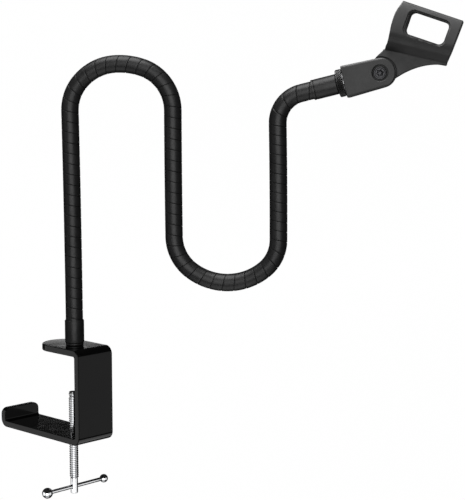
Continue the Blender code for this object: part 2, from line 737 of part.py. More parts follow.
def make_trough(name, cradle):
    """A C-shaped trough that tapers from one end to the other."""
    half = CRADLE_WALL / 2
    sections = [trough_section(w - half, f) for w, f in zip(CRADLE_HALF_WIDTHS, CRADLE_FLOORS)]
    count = len(sections[0])
    verts = [(x, y, z) for x, section in zip(CRADLE_ENDS, sections) for y, z in section]
    faces = [tuple(range(count)), tuple(reversed(range(count, 2 * count)))]
    for i in range(count):
        j = (i + 1) % count
        faces.append((i, i + count, j + count, j))
    return add_object(name, verts, faces, black_plastic(), cradle)


def web_outline():
    """Side outline of the tongue and of the web that flares up to the trough."""
    start, end = CRADLE_ENDS[0] + WEB_INSET, CRADLE_ENDS[1] - WEB_INSET
    rise = (CRADLE_FLOORS[1] - CRADLE_FLOORS[0]) / (CRADLE_ENDS[1] - CRADLE_ENDS[0])
    low_floor, high_floor = (CRADLE_FLOORS[0] + rise * (x - CRADLE_ENDS[0]) for x in (start, end))
    lower = bezier(*WEB_UNDERSIDE, (end, high_floor + WEB_MEET), 10)
    back = bezier((start, low_floor + WEB_MEET), *WEB_BACK, 4)
    top = [(end, high_floor + WEB_SUNK), (start, low_floor + WEB_SUNK)]
    return arc((0, 0), TONGUE_RADIUS, *TONGUE_ARC, 14) + lower[1:] + top + back[:-1]


def make_cradle(cradle):
    trough = make_trough("mic_cradle", cradle)
    web = prism("add_cradle_web", web_outline(), -WEB_HALF, WEB_HALF, black_plastic(), cradle)
    cut(trough, web, keep="UNION")
    near = side_hole("cut_near_recess", RECESS_RADIUS, -EAR_FACE, -TONGUE_HALF, 32, cradle)
    far = side_hole("cut_far_recess", RECESS_RADIUS, TONGUE_HALF, EAR_FACE, 32, cradle)
    x_low, x_high = WINDOW_X
    z_low, z_high = WINDOW_Z
    r = WINDOW_CORNER
    outline = arc((x_high - r, z_low + r), r, -90, 0, 4) + arc((x_high - r, z_high - r), r, 0, 90, 4)
    outline += arc((x_low + r, z_high - r), r, 90, 180, 4) + arc((x_low + r, z_low + r), r, 180, 270, 4)
    reach = 2 * CRADLE_HALF_WIDTHS[0]
    window = prism("cut_windows", outline, -reach, reach, black_plastic(), cradle)
    hole = side_hole("cut_tongue_hole", PIVOT_RADIUS + GAP, -EAR_FACE, EAR_FACE, 16, cradle)
    cut(trough, near, far, window, hole)


def clear_scene():
    for obj in list(bpy.data.objects):
        bpy.data.objects.remove(obj, do_unlink=True)


def main():
    clear_scene()
    make_bracket()
    make_fixing_screw()
    make_base()
    make_clamp_screw()
    make_tommy_bar()
    neck = empty("neck_plane", (NECK_X, 0, 0), (0, 0, NECK_TURN))
    make_neck(neck)
    x, z, heading = neck_frame(neck_length())
    clip = empty("clip_axis", (x, 0, z), (0, -heading, 0), neck)
    pivot = empty("pivot_axis", (PIVOT_AT, 0, 0), (0, 0, 0), clip)
    make_ferrule_and_stud(clip)
    make_lock_ring(clip)
    make_barrel(clip, pivot)
    make_insert(clip)
    make_pivot(pivot)
    cradle = empty("cradle_axis", (0, 0, 0), (0, math.radians(CLIP_RISE - CRADLE_TILT), 0), pivot)
    make_cradle(cradle)


main()
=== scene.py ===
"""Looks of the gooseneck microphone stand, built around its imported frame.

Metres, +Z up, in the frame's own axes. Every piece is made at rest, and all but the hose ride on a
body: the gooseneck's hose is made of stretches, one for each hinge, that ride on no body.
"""

import json
import math

import bmesh
import bpy
import numpy as np
from mathutils import Matrix, Vector

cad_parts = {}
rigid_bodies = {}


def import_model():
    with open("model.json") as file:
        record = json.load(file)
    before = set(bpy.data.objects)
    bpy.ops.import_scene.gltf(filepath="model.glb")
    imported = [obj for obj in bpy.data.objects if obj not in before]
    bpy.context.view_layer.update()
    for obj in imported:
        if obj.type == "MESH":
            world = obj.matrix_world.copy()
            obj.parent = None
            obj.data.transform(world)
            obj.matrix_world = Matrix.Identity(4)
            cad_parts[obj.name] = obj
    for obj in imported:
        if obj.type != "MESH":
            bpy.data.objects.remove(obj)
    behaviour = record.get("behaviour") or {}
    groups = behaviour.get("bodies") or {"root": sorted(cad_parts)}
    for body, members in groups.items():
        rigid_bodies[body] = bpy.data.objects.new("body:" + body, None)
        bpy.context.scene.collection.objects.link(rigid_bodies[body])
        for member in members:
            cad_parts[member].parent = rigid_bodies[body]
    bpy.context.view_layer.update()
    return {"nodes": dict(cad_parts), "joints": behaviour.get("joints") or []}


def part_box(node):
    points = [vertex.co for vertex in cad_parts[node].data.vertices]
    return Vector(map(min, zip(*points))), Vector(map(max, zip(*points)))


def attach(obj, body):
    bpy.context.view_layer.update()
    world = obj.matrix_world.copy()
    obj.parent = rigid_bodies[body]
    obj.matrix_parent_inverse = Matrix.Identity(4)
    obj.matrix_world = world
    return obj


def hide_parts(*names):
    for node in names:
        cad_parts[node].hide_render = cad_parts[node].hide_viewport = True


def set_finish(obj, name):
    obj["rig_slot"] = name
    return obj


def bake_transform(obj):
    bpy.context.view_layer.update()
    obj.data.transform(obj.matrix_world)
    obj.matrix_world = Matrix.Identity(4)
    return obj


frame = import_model()

MM = 0.001
GAP = 0.3 * MM
MICRON = 1e-6
NOISE_MIDDLE = (0.3, 0.7)  # the part of the noise's range that its features fill

# camera
CAMERA_AT = Vector((0.8523, -0.6918, 0.2091))
CAMERA_AZIMUTH = math.radians(43.95)
CAMERA_PITCH = math.radians(-6.81)
CAMERA_LENS = 100.3
CAMERA_SENSOR = 36  # mm, its height

# clamp, from its solid's box
BRACKET_LOW, BRACKET_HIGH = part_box("clamp_bracket")
STRAP_HALF = BRACKET_HIGH.y
STRAP_THICKNESS = BRACKET_HIGH.z
BEND_RADIUS = 1.5 * MM + STRAP_THICKNESS / 2  # to the middle of the strap
LIP_HEIGHT = 15.2 * MM
LIP_CORNER = 5 * MM
STRAP_EDGE = 0.7 * MM  # rounding along the strap's edges
HOLE_EDGE = 0.4 * MM
BEND_STEPS = 12
FIXING_BORE = 3 * MM
FIXING_EDGE = 0.2 * MM
COUNTERSINK_RADIUS = 5.3 * MM
SCREW_LOW, SCREW_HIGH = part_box("clamp_screw")
SCREW_X = (SCREW_LOW.x + SCREW_HIGH.x) / 2
SCREW_RADIUS = 3.6 * MM
SCREW_PITCH = 1.5 * MM
THREAD_DEPTH = 0.75 * MM
THREAD_FORM = ((0.0, 1.0), (0.08, 1.0), (0.44, 0.0), (0.56, 0.0), (0.92, 1.0))  # place in a turn, cut
THREAD_LEAD_IN = 1.1  # depths that the thread dies away over at its ends
THREAD_SIDES = 36
THREAD_END = -103.2 * MM
SCREW_SHOULDER = -37 * MM
BUTTON_PIN_RADIUS = 1.6 * MM
HEAD_RADIUS = 2.9 * MM
HEAD_TOP = THREAD_END + 0.2 * MM
BAR_Z = -110.1 * MM
BAR_RADIUS = 1.55 * MM

# gooseneck
NECK_TURN = math.radians(34)
NECK_X = sum(corner.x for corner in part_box("base_collar")) / 2
NECK_START = STRAP_THICKNESS
HOSE_RADIUS = 6.75 * MM
HOSE_BORE = 5.1 * MM
CLIP_RISE = 14
LEGS = ((183 * MM, 0.8), (96.4 * MM, 0.6), (88.3 * MM, 1.2), (9.2 * MM, 0))  # length, degrees of bow
ARCH_1 = ((33.3 * MM, 40), (39.6 * MM, 46.5), (58.5 * MM, 22), (34.3 * MM, 72.3))  # radius, degrees
ARCH_2 = ((32.7 * MM, 54), (46.5 * MM, 75.4), (29.6 * MM, 50))
ARCH_3 = ((23 * MM, 90 + LEGS[2][1] - CLIP_RISE),)
SOCKET_DEPTH = 8 * MM
COLLAR_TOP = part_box("base_collar")[1].z
STRIP_LEADS = (8.05, 8.4, 8.17, 8.6, 7.2, 10.0, 10.0)  # mm of hose to a turn, for each leg and arch
STRIP_RUN_ON = 0.1  # metres that the winding is worked out for beyond each end of the neck
STRIP_ROWS = (  # place within one turn of the strip, and height above the hose's radius in mm
    (0.0, -0.5), (0.012, -0.42), (0.025, -0.18), (0.038, -0.04), (0.07, 0.0), (0.18, 0.0),
    (0.34, 0.0), (0.5, 0.0), (0.66, 0.0), (0.82, 0.0), (0.93, 0.0), (0.962, -0.04),
    (0.975, -0.18), (0.988, -0.42),
)
NECK_JOINTS = [joint for joint in frame["joints"] if joint["name"].startswith("neck_")]
GROOVE_AT = 44.2 * MM  # where the groove crosses the hose's side on the first leg
HOSE_COLUMNS = 48
BORE_ROW = 3 * MM  # spacing of the rows down the hose's plain inside
NECK_SAMPLES = 6001  # places along the neck that are tried for each hinge

# clip
FERRULE_RADIUS = 7.6 * MM
FERRULE_LENGTH = 18.9 * MM
FERRULE_GROOVE = (1.7 * MM, 0.55 * MM, 0.35 * MM, 0.15 * MM)  # start, width, depth, slope
STUD_SHANK = 5 * MM
STUD_RADIUS = 7.7 * MM
RING_START, RING_END = 19.3 * MM, 24.0 * MM
RING_RADIUS = 10.4 * MM
RING_EDGE = ((0.6 * MM, 0), (0.45 * MM, 0.2 * MM))  # steps in from the radius and from the end
KNURL_TEETH = 40
KNURL_SLANT = 75.0  # radians of turn to a metre
KNURL_DEPTH = 0.6 * MM
KNURL_INSET = 0.55 * MM  # plain rim at each end of the ring
KNURL_STEPS = 10
KNURL_ROOT = 1.35  # above 1, the teeth's roots are flat
BARREL_START = 24.7 * MM
BARREL_HALF_HEIGHT = 12.1 * MM
BARREL_CORNER_RADII = (15.2 * MM, 14.2 * MM)
INSERT_RADIUS = 9.3 * MM
INSERT_END = 38.5 * MM
PIVOT_AT = 52.2 * MM
EAR_RADIUS = 11.0 * MM
EAR_FACE = 10.2 * MM
TONGUE_HALF = 3.8 * MM
WEB_HALF = 4.7 * MM
RECESS_RADIUS = 12 * MM
TONGUE_RADIUS = 10.0 * MM
SLOT_HALF = 5 * MM
PIVOT_RADIUS = 2.5 * MM
PIVOT_HEAD_RADIUS = 4.8 * MM
PIVOT_HEAD_HEIGHT = 2.5 * MM
PIVOT_RECESS_RADIUS = 6.0 * MM
LOBE_RADIUS = 2.5 * MM
LOBE_WAVE = 0.16  # of the radius, in and out six times round
LOBE_DEPTH, DISH_DEPTH = 2.2 * MM, 0.7 * MM
NUT_FLATS = 8 * MM
NUT_HEIGHT = 3.6 * MM
NUT_TURNS = [math.radians(turn) for turn in (0, 60, 120)]
FIELD_MARGIN = 1.5  # mm round a shape that its distance field is sampled in
BARREL_GRID, CRADLE_GRID = 0.4, 0.45  # mm between the samples
BARREL_FILLETS = {"start": 0.9, "side": 0.5, "corner": 0.8, "slot": 0.4, "bore": 0.3, "pivot": 0.2,
                  "recess": 0.35, "nut": 0.25}  # mm

# cradle, about the pivot: X along the microphone, Z out of the open side
CRADLE_TILT = -18.8
CRADLE_ENDS = (-3.1 * MM, 44.6 * MM)
CRADLE_FLOORS = (15.7 * MM, 20.3 * MM)
CRADLE_HALF_WIDTHS = (17.5 * MM, 15.8 * MM)
CRADLE_TOP = 54.6 * MM
CRADLE_WALL = 2.6 * MM
JAW_CURVE = 2.4
SHOULDER_RISE = 10 * MM  # from the floor to where the walls turn in
FLOOR_HALF = 2.5 * MM
WINDOW_X = (6.6 * MM, 36.3 * MM)
WINDOW_Z = (32.9 * MM, 49.8 * MM)
WINDOW_CORNER = 4 * MM
WINDOW_STEP = (1.2 * MM, 1.1 * MM)  # width and depth of the step round each window
WINDOW_START = 8  # mm from the middle plane, so that the windows cut the walls only
NEAR_END_SHAPE = (  # height, and how far the near end falls back there, in mm
    (20.0, 0.3), (22.0, 0.75), (25.0, 0.85), (28.4, 0.5), (31.6, 0.1), (35.0, -0.4), (38.2, -0.6),
    (41.5, -0.7), (44.8, -0.6), (48.0, -0.1), (51.3, 0.9), (54.6, 1.6),
)
FAR_END_SHAPE = ((21.0, 1.2), (30.0, 0.7), (54.6, 0.0))  # the same for the far end
WEB_ENDS = (-0.8, 1.2)  # mm that the web's ends are inside the trough's
WEB_MEET = (0.3, 1.3)  # mm into the trough: where its curved edges stop, and its top
WEB_UNDERSIDE = ((9.0, -4.3), (15.2, 6.6), (28, 18.2))  # mm, control points from the tongue out
WEB_BACK = ((-5.6, 12.7), (-7.9, 9.4), (-9.2, 3.8))
TONGUE_ARC = (158, 335)  # degrees, where the tongue's round end starts and stops
EAR_GAP = (10.2, 1.8, 2.6)  # mm: the gap round the ears, middle radius, half width and floor
CRADLE_FILLETS = {"floor": 3.0, "foot": 1.5, "lip": 1.1, "end": 0.55, "web": 0.7, "recess": 0.25,
                  "ear": 0.3, "join": 1.2, "window": 0.3, "step": 0.25, "pivot": 0.2}  # mm

# stage and light
FLOOR_Z = -0.45
SWEEP_RADIUS = 9.0
SWEEP_CURVE = 3.0
WORLD_LIGHT = 0.02
LIGHT_AIM = Vector((0.07, 0.04, 0.08))
LIGHTS = (  # name, degrees round from +X, degrees up, distance, width, height, radiance, what it lights
    ("front", 315, 8, 1.9, 1.8, 1.9, 1.85, "coated"),
    ("left_fill", 248, 0, 1.9, 0.7, 1.7, 0.2, "coated"),
    ("top", 250, 76, 1.7, 1.5, 1.5, 3.6, "coated"),
    ("floor", 300, -70, 1.3, 1.6, 1.4, 0.8, "coated"),
    ("clip_front", 315, 8, 1.9, 1.8, 1.9, 1.35, "moulded"),
    ("clip_top", 250, 76, 1.7, 1.5, 1.5, 12.0, "moulded"),
    ("clip_floor", 300, -70, 1.3, 1.6, 1.4, 0.9, "moulded"),
    ("paint_front", 285, 8, 1.9, 1.5, 1.9, 1.0, "painted"),
    ("paint_left", 219, 0, 1.9, 1.3, 1.7, 0.5, "painted"),
    ("paint_far_side", 142, 5.3, 5.0, 5.5, 0.68, 1.0, "painted"),
    ("paint_right", 39, -2, 2.0, 0.8, 1.4, 0.28, "painted"),
    ("paint_floor", 20, -66, 1.3, 1.8, 1.2, 0.8, "painted"),
    ("chrome_front", 312, -17, 1.7, 1.7, 1.5, 3.0, "plated"),
    ("chrome_left", 244, -15, 1.7, 1.9, 1.6, 1.3, "plated"),
    ("chrome_right", 18, -15, 1.7, 1.9, 1.6, 1.0, "plated"),
    ("chrome_floor", 300, -75, 1.3, 1.2, 0.9, 0.6, "plated"),
)


# ---- node materials ----


def socket_of(tree, value, node, name):
    """Sets an input to a number, a colour or another node's output."""
    if isinstance(value, bpy.types.NodeSocket):
        tree.links.new(value, node.inputs[name])
    else:
        node.inputs[name].default_value = value


def add_node(tree, kind, settings=None, **inputs):
    """A node with its properties and inputs set. An underscore in an input's name is a space."""
    node = tree.nodes.new(kind)
    for key, value in (settings or {}).items():
        setattr(node, key, value)
    for key, value in inputs.items():
        socket_of(tree, value, node, key.replace("_", " "))
    return node


def place(tree, stretch=(1, 1, 1)):
    """The piece's own coordinates in metres, stretched along X, Y and Z."""
    coords = add_node(tree, "ShaderNodeTexCoord")
    mapping = add_node(tree, "ShaderNodeMapping", Vector=coords.outputs["Object"], Scale=stretch)
    return mapping.outputs["Vector"]


def noise(tree, size, detail=2, stretch=(1, 1, 1), rough=0.5):
    """Noise whose features are about size metres across."""
    node = add_node(tree, "ShaderNodeTexNoise", Vector=place(tree, stretch), Scale=1 / size,
                    Detail=detail, Roughness=rough)
    return node.outputs["Fac"]


def spread(tree, factor, low, high):
    """Maps the middle of a 0 to 1 factor onto low to high."""
    node = add_node(tree, "ShaderNodeMapRange", Value=factor, From_Min=NOISE_MIDDLE[0],
                    From_Max=NOISE_MIDDLE[1], To_Min=low, To_Max=high)
    return node.outputs["Result"]


def shade(tree, factor, dark, light):
    """Mixes two colours by a factor."""
    node = add_node(tree, "ShaderNodeMix", {"data_type": "RGBA"})
    socket_of(tree, spread(tree, factor, 0, 1), node, "Factor")
    node.inputs[6].default_value = (*dark, 1)
    node.inputs[7].default_value = (*light, 1)
    return node.outputs[2]


def relief(tree, height, depth):
    """Bump of a height factor that is depth metres tall."""
    return add_node(tree, "ShaderNodeBump", Height=height, Distance=depth).outputs["Normal"]


def new_material(name):
    """A material and its node tree, with the Principled shader."""
    made = bpy.data.materials.new(name)
    made.use_nodes = True
    return made, made.node_tree, made.node_tree.nodes["Principled BSDF"]


def finished(name, colour, rough, bump):
    """A material and its shader. Each of the three parts starts with its noise's arguments."""
    made, tree, shader = new_material(name)
    (patches, dark, light), (spots, smooth, dull), (grain, depth) = colour, rough, bump
    socket_of(tree, shade(tree, noise(tree, *patches), dark, light), shader, "Base Color")
    socket_of(tree, spread(tree, noise(tree, *spots), smooth, dull), shader, "Roughness")
    socket_of(tree, relief(tree, noise(tree, *grain), depth), shader, "Normal")
    return made, shader


def gloss_paint():
    """Black baked enamel: glossy, with a faint orange peel and a hint of dust in the gloss."""
    made, shader = finished("gloss_black_enamel",
                            ((28 * MM, 4), (0.0055, 0.0055, 0.0058), (0.0085, 0.0084, 0.0086)),
                            ((9 * MM, 5), 0.07, 0.12), ((2.6 * MM, 1), 0.006 * MM))
    shader.inputs["Specular IOR Level"].default_value = 0.55
    return made


def neck_coating():
    """Satin black coating over wound steel strip, with a fine grain and rubbed patches."""
    return finished("satin_black_coating",
                    ((12 * MM, 4), (0.0105, 0.0105, 0.0108), (0.0165, 0.0165, 0.0168)),
                    ((4 * MM, 5), 0.36, 0.46), ((0.35 * MM, 3), 0.02 * MM))[0]


def moulded_plastic(name, dark, light, rough):
    """Black moulded plastic with a fine spark-eroded grain and faint flow clouds."""
    return finished(name, ((15 * MM, 4), [dark] * 3, [light] * 3), ((5 * MM, 5), rough, rough + 0.1),
                    ((0.42 * MM, 4, (1, 1, 1), 0.6), 0.045 * MM))[0]


def chrome(name):
    """Polished plating with faint hazy patches and hairline polishing marks."""
    haze = (6 * MM, 5)
    made, shader = finished(name, (haze, (0.72, 0.73, 0.745), (0.80, 0.81, 0.82)),
                            (haze, 0.05, 0.12), ((0.25 * MM, 2, (1, 1, 0.08)), 0.004 * MM))
    shader.inputs["Metallic"].default_value = 1
    return made


def plain_metal(name, light, rough):
    """Machined metal with turning marks and small stains."""
    stain = (3 * MM, 5)
    made, shader = finished(name, (stain, [part * 0.75 for part in light], light),
                            (stain, rough, rough + 0.12), ((0.2 * MM, 2, (0.1, 0.1, 1)), 0.01 * MM))
    shader.inputs["Metallic"].default_value = 1
    return made


def threaded_chrome_painted_shade():
    """Chrome with painted shade: its colour darkens towards the thread's root, standing in for the shade
    that falls there.
    """
    made = chrome("chrome_thread_painted_shade")
    tree = made.node_tree
    shader = tree.nodes["Principled BSDF"]
    away = add_node(tree, "ShaderNodeVectorMath", {"operation": "DISTANCE"})
    tree.links.new(place(tree, (1, 1, 0)), away.inputs[0])
    away.inputs[1].default_value = (SCREW_X, 0, 0)
    depth = add_node(tree, "ShaderNodeMapRange", Value=away.outputs["Value"],
                     From_Min=SCREW_RADIUS - THREAD_DEPTH + 0.1 * MM, From_Max=SCREW_RADIUS - 0.2 * MM)
    root_shade_mix = add_node(tree, "ShaderNodeMix", {"data_type": "RGBA"}, Factor=depth.outputs["Result"])
    # painted shade: the darker colour painted at the thread's root
    root_shade_mix.inputs[6].default_value = (0.36, 0.36, 0.365, 1)
    plated = shader.inputs["Base Color"].links[0].from_socket
    tree.links.new(plated, root_shade_mix.inputs[7])
    tree.links.new(root_shade_mix.outputs[2], shader.inputs["Base Color"])
    return made


PAINT = gloss_paint()
COATING = neck_coating()
PLASTIC = moulded_plastic("moulded_black_plastic", 0.022, 0.031, 0.4)
RING_PLASTIC = moulded_plastic("hard_black_plastic", 0.008, 0.012, 0.14)
CHROME = chrome("chrome_plate")
THREADED_PAINTED_SHADE = threaded_chrome_painted_shade()
STEEL = plain_metal("machined_steel", (0.46, 0.46, 0.47), 0.28)
BLACK_STEEL = plain_metal("blackened_steel", (0.062, 0.062, 0.065), 0.26)
BRASS = plain_metal("machined_brass", (0.66, 0.48, 0.22), 0.26)


# ---- mesh helpers ----


def add_object(name, data):
    obj = bpy.data.objects.new(name, data)
    bpy.context.scene.collection.objects.link(obj)
    return obj


def piece_from(name, mesh, finish, body, slot, nodes, matrix=Matrix.Identity(4), sharp=40):
    """Places a mesh, gives it its finish and body and hides the CAD nodes that it stands for."""
    mesh.transform(matrix)
    mesh.materials.append(finish)
    mesh.shade_smooth()
    mesh.set_sharp_from_angle(angle=math.radians(sharp))
    obj = add_object(name, mesh)
    if body is not None:
        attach(obj, body)
    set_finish(obj, slot)
    if nodes:
        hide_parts(*nodes)
    return obj


def mesh_from_bmesh(name, bm):
    """Welds what meets, turns all faces outwards and makes a mesh."""
    bmesh.ops.remove_doubles(bm, verts=bm.verts, dist=0.5 * MICRON)
    bmesh.ops.recalc_face_normals(bm, faces=bm.faces)
    mesh = bpy.data.meshes.new(name)
    bm.to_mesh(mesh)
    bm.free()
    return mesh


def quads(bm, rows, closed=False):
    """Faces between rows of vertices, right round where they are closed. A row may be one point."""
    for row, following in zip(rows, rows[1:]):
        for i in range(len(row) - (not closed)):
            j = (i + 1) % len(row)
            corners = tuple(dict.fromkeys((row[i], row[j], following[j], following[i])))
            if len(corners) > 2:
                bm.faces.new(corners)


def slice_at(bm, place, way, clear=True, near=0.1 * MICRON):
    """Cuts a mesh by a plane and clears away the side that way points to."""
    everything = bm.verts[:] + bm.edges[:] + bm.faces[:]
    bmesh.ops.bisect_plane(bm, geom=everything, plane_co=place, plane_no=way, clear_outer=clear,
                           dist=near)


def close_rim(bm, on_rim):
    """Fills the opening whose vertices pass a test."""
    rim = [edge for edge in bm.edges if len(edge.link_faces) == 1 and all(map(on_rim, edge.verts))]
    bmesh.ops.triangle_fill(bm, use_beauty=True, edges=rim)


def close_levels(bm, *heights):
    """Fills the openings at some heights. Those at one height are filled together."""
    for height in heights:
        close_rim(bm, lambda vert: abs(vert.co.z - height) < MICRON)


def soften(profile, radius, steps=4, ring=False):
    """Rounds a profile's corners. A point may carry its own radius as a third number."""
    count = len(profile)
    points = []
    for i, point in enumerate(profile):
        here = Vector(point[:2])
        reach = point[2] if len(point) > 2 else radius
        if not ring and i in (0, count - 1) or reach == 0:
            points.append(tuple(here))
            continue
        before = Vector(profile[i - 1][:2]) - here
        after = Vector(profile[(i + 1) % count][:2]) - here
        reach = min(reach, before.length * 0.45, after.length * 0.45)
        a, b = here + before.normalized() * reach, here + after.normalized() * reach
        for k in range(steps + 1):
            t = k / steps
            points.append(tuple(a * (1 - t) ** 2 + here * 2 * t * (1 - t) + b * t * t))
    return points


def lathe(name, profile, sides=64, ring=False, form=None):
    """A body turned about Z from (radius, height) points. form(radius, height, angle) reshapes it."""
    bm = bmesh.new()
    rows = []
    for radius, height in profile:
        if radius == 0:
            rows.append([bm.verts.new((0, 0, height))] * sides)
            continue
        row = []
        for i in range(sides):
            angle = 2 * math.pi * i / sides
            reach = form(radius, height, angle) if form else radius
            row.append(bm.verts.new((reach * math.cos(angle), reach * math.sin(angle), height)))
        rows.append(row)
    quads(bm, rows + rows[:ring], closed=True)
    return mesh_from_bmesh(name, bm)


def arc(centre, radius, start, end, steps):
    """Points on an arc from start to end degrees, both ends included."""
    points = []
    for i in range(steps + 1):
        angle = math.radians(start + (end - start) * i / steps)
        points.append((centre[0] + radius * math.cos(angle), centre[1] + radius * math.sin(angle)))
    return points


def upright(x, y=0, z=0):
    return Matrix.Translation((x, y, z))


def turned(name, profile, sides, *what, ring=False, form=None, sharp=40):
    """A lathed piece. The rest is its finish, body, slot, nodes and place."""
    piece_from(name, lathe(name, profile, sides, ring, form), *what, sharp=sharp)


def polygon_radius(angle, flat_radius, sides):
    """Radius of a polygon whose flats are flat_radius from its middle."""
    sector = 2 * math.pi / sides
    return flat_radius / math.cos((angle % sector) - sector / 2)


# ---- the clamp ----


BEND = (BEND_RADIUS * math.pi / 2, -math.pi / 2)
STRAP_RUNS = (  # the strap's middle line from the round free end: length, and turn of the heading
    (BRACKET_HIGH.x - BEND_RADIUS - STRAP_THICKNESS / 2 + STRAP_HALF, 0),
    BEND,
    (BRACKET_HIGH.z - BRACKET_LOW.z - 2 * BEND_RADIUS - STRAP_THICKNESS, 0),
    BEND,
    (BRACKET_HIGH.x - BRACKET_LOW.x - 2 * BEND_RADIUS - STRAP_THICKNESS, 0),
    BEND,
    (LIP_HEIGHT - BEND_RADIUS - STRAP_THICKNESS / 2, 0),
)
STRAP_LENGTH = sum(length for length, turn in STRAP_RUNS)


def walk(runs, distance, x, z, heading):
    """Place and heading after a distance along runs of (length, turn)."""
    for index, (length, turn) in enumerate(runs):
        part = distance if index == len(runs) - 1 else min(distance, length)
        if turn:
            radius = length / turn
            after = heading + turn * part / length
            x += radius * (math.sin(after) - math.sin(heading))
            z -= radius * (math.cos(after) - math.cos(heading))
            heading = after
        else:
            x += part * math.cos(heading)
            z += part * math.sin(heading)
        distance -= part
        if distance <= 0:
            break
    return x, z, heading


def on_strap(s, y, height):
    """A point of the flat strap, bent into place. Height is above its middle, to the outside."""
    x, z, heading = walk(STRAP_RUNS, s, -STRAP_HALF, STRAP_THICKNESS / 2, 0)
    return Vector((x - height * math.sin(heading), y, z + height * math.cos(heading)))


def strap_outline(inset):
    """The flat strap's edge, drawn in by inset: round free end, straight sides, rounded lip corners."""
    half = STRAP_HALF
    points = arc((half, 0), half - inset, 270, 90, 40)
    corner = LIP_CORNER
    points += arc((STRAP_LENGTH - corner, half - corner), corner - inset, 90, 0, 8)
    points += arc((STRAP_LENGTH - corner, corner - half), corner - inset, 0, -90, 8)
    return points


def rounded_steps(radius, steps=4):
    """(inset, drop) pairs that round an edge, from the face to the side."""
    turns = [math.radians(90 * k / steps) for k in range(steps + 1)]
    return [(radius * (1 - math.sin(a)), radius * (1 - math.cos(a))) for a in turns]


def side_loops():
    """Stacked loops (points, height) down the strap's rounded side."""
    half = STRAP_THICKNESS / 2
    steps = rounded_steps(STRAP_EDGE)
    loops = [(strap_outline(inset), half - drop) for inset, drop in steps]
    return loops + [(strap_outline(inset), drop - half) for inset, drop in reversed(steps)]


def hole_loops(s, profile):
    """Stacked loops down a hole, from (radius, height) pairs."""
    return [(arc((s, 0), radius, 0, 360, 32)[:-1], height) for radius, height in profile]


def bracket_mesh():
    """The flat strap with its holes, cut where it bends and then bent to a C."""
    half = STRAP_THICKNESS / 2
    bore = SCREW_RADIUS + GAP
    screw_s = sum(length for length, turn in STRAP_RUNS[:4]) + STRAP_RUNS[0][0] - STRAP_HALF - SCREW_X
    screw_hole = [(bore + HOLE_EDGE, half), (bore, half - HOLE_EDGE)]
    screw_hole += [(radius, -height) for radius, height in reversed(screw_hole)]
    countersink = [(FIXING_BORE + FIXING_EDGE, half), (FIXING_BORE, half - FIXING_EDGE), (FIXING_BORE, 0),
                   (COUNTERSINK_RADIUS, FIXING_EDGE - half), (COUNTERSINK_RADIUS, -half)]
    parts = [side_loops(), hole_loops(screw_s, screw_hole), hole_loops(STRAP_HALF + NECK_X, countersink)]
    bm = bmesh.new()
    for loops in parts:
        rows = [[bm.verts.new((s, y, height)) for s, y in points] for points, height in loops]
        quads(bm, rows, closed=True)
    close_levels(bm, half, -half)
    at = 0
    for length, turn in STRAP_RUNS:
        steps = BEND_STEPS if turn else 1
        for i in range(steps):
            if at + i > 0:
                slice_at(bm, (at + length * i / steps, 0, 0), (1, 0, 0), clear=False)
        at += length
    for vert in bm.verts:
        vert.co = on_strap(*vert.co)
    return mesh_from_bmesh("bent_strap", bm)


def make_bracket():
    strap = piece_from("bent_strap", bracket_mesh(), PAINT, "clamp", "gloss_black_paint",
                       ["clamp_bracket"], sharp=50)
    weighted = strap.modifiers.new("even_faces", "WEIGHTED_NORMAL")
    weighted.keep_sharp = True
    weighted.weight = 80


def make_fixing_screw():
    """Countersunk screw under the top plate, with a hexagon socket."""
    head, shank, socket = 5.0 * MM, 2.7 * MM, 1.7 * MM
    under, cone, socket_top, tip = 0.2 * MM, 2.6 * MM, 2 * MM, 14 * MM

    def form(radius, height, angle):
        return polygon_radius(angle, radius, 6) if radius <= socket else radius

    profile = [(0, socket_top), (socket, socket_top), (socket, under), (socket * 1.2, under)]
    profile += [(head, under), (shank, cone), (shank, tip), (0, tip)]
    turned("collar_fixing_screw", soften(profile, 0.25 * MM), 60, BLACK_STEEL, "clamp", "steel",
           ["neck_fixing_screw"], upright(NECK_X), form=form)


def make_foot():
    """The narrow ring and the smooth collar that the hose stands in."""
    bore, mouth = FIXING_BORE, HOSE_RADIUS + GAP
    low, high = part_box("base_ring")
    outer = (high.x - low.x) / 2
    profile = [(bore, low.z), (outer, low.z), (outer, high.z), (bore, high.z)]
    turned("foot_ring", soften(profile, 0.3 * MM, ring=True), 64, COATING, "clamp", "satin_black_neck",
           ["base_ring"], upright(NECK_X), ring=True)
    low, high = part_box("base_collar")
    outer = (high.x - low.x) / 2
    floor = high.z - SOCKET_DEPTH
    profile = [(bore, low.z), (outer, low.z, 0.5 * MM), (outer, high.z, 0.45 * MM)]
    profile += [(mouth, high.z, 0.1 * MM), (mouth, floor), (bore, floor)]
    turned("foot_collar", soften(profile, 0.15 * MM, ring=True), 72, COATING, "clamp",
           "satin_black_neck", ["base_collar"], upright(NECK_X), ring=True)


def thread_mesh(low, high):
    """The screw's thread between two heights: a helical grid, cut flat at its ends."""
    turns = int((high - low) / SCREW_PITCH) + 3
    root = SCREW_RADIUS - THREAD_LEAD_IN * THREAD_DEPTH
    bm = bmesh.new()
    grid = []
    for i in range(THREAD_SIDES + 1):
        angle = 2 * math.pi * i / THREAD_SIDES
        column = []
        for k in range(turns):
            for at, cut in THREAD_FORM:
                height = low + SCREW_PITCH * (k - 2 + at + i / THREAD_SIDES)
                radius = SCREW_RADIUS - THREAD_DEPTH * cut
                radius = max(min(radius, min(height - low, high - height) + root), root)
                column.append(bm.verts.new((radius * math.cos(angle), radius * math.sin(angle), height)))
        grid.append(column)
    quads(bm, grid)
    bmesh.ops.remove_doubles(bm, verts=bm.verts, dist=0.1 * MICRON)
    slice_at(bm, (0, 0, low), (0, 0, -1))
    slice_at(bm, (0, 0, high), (0, 0, 1))
    close_levels(bm, low, high)
    return mesh_from_bmesh("thread", bm)


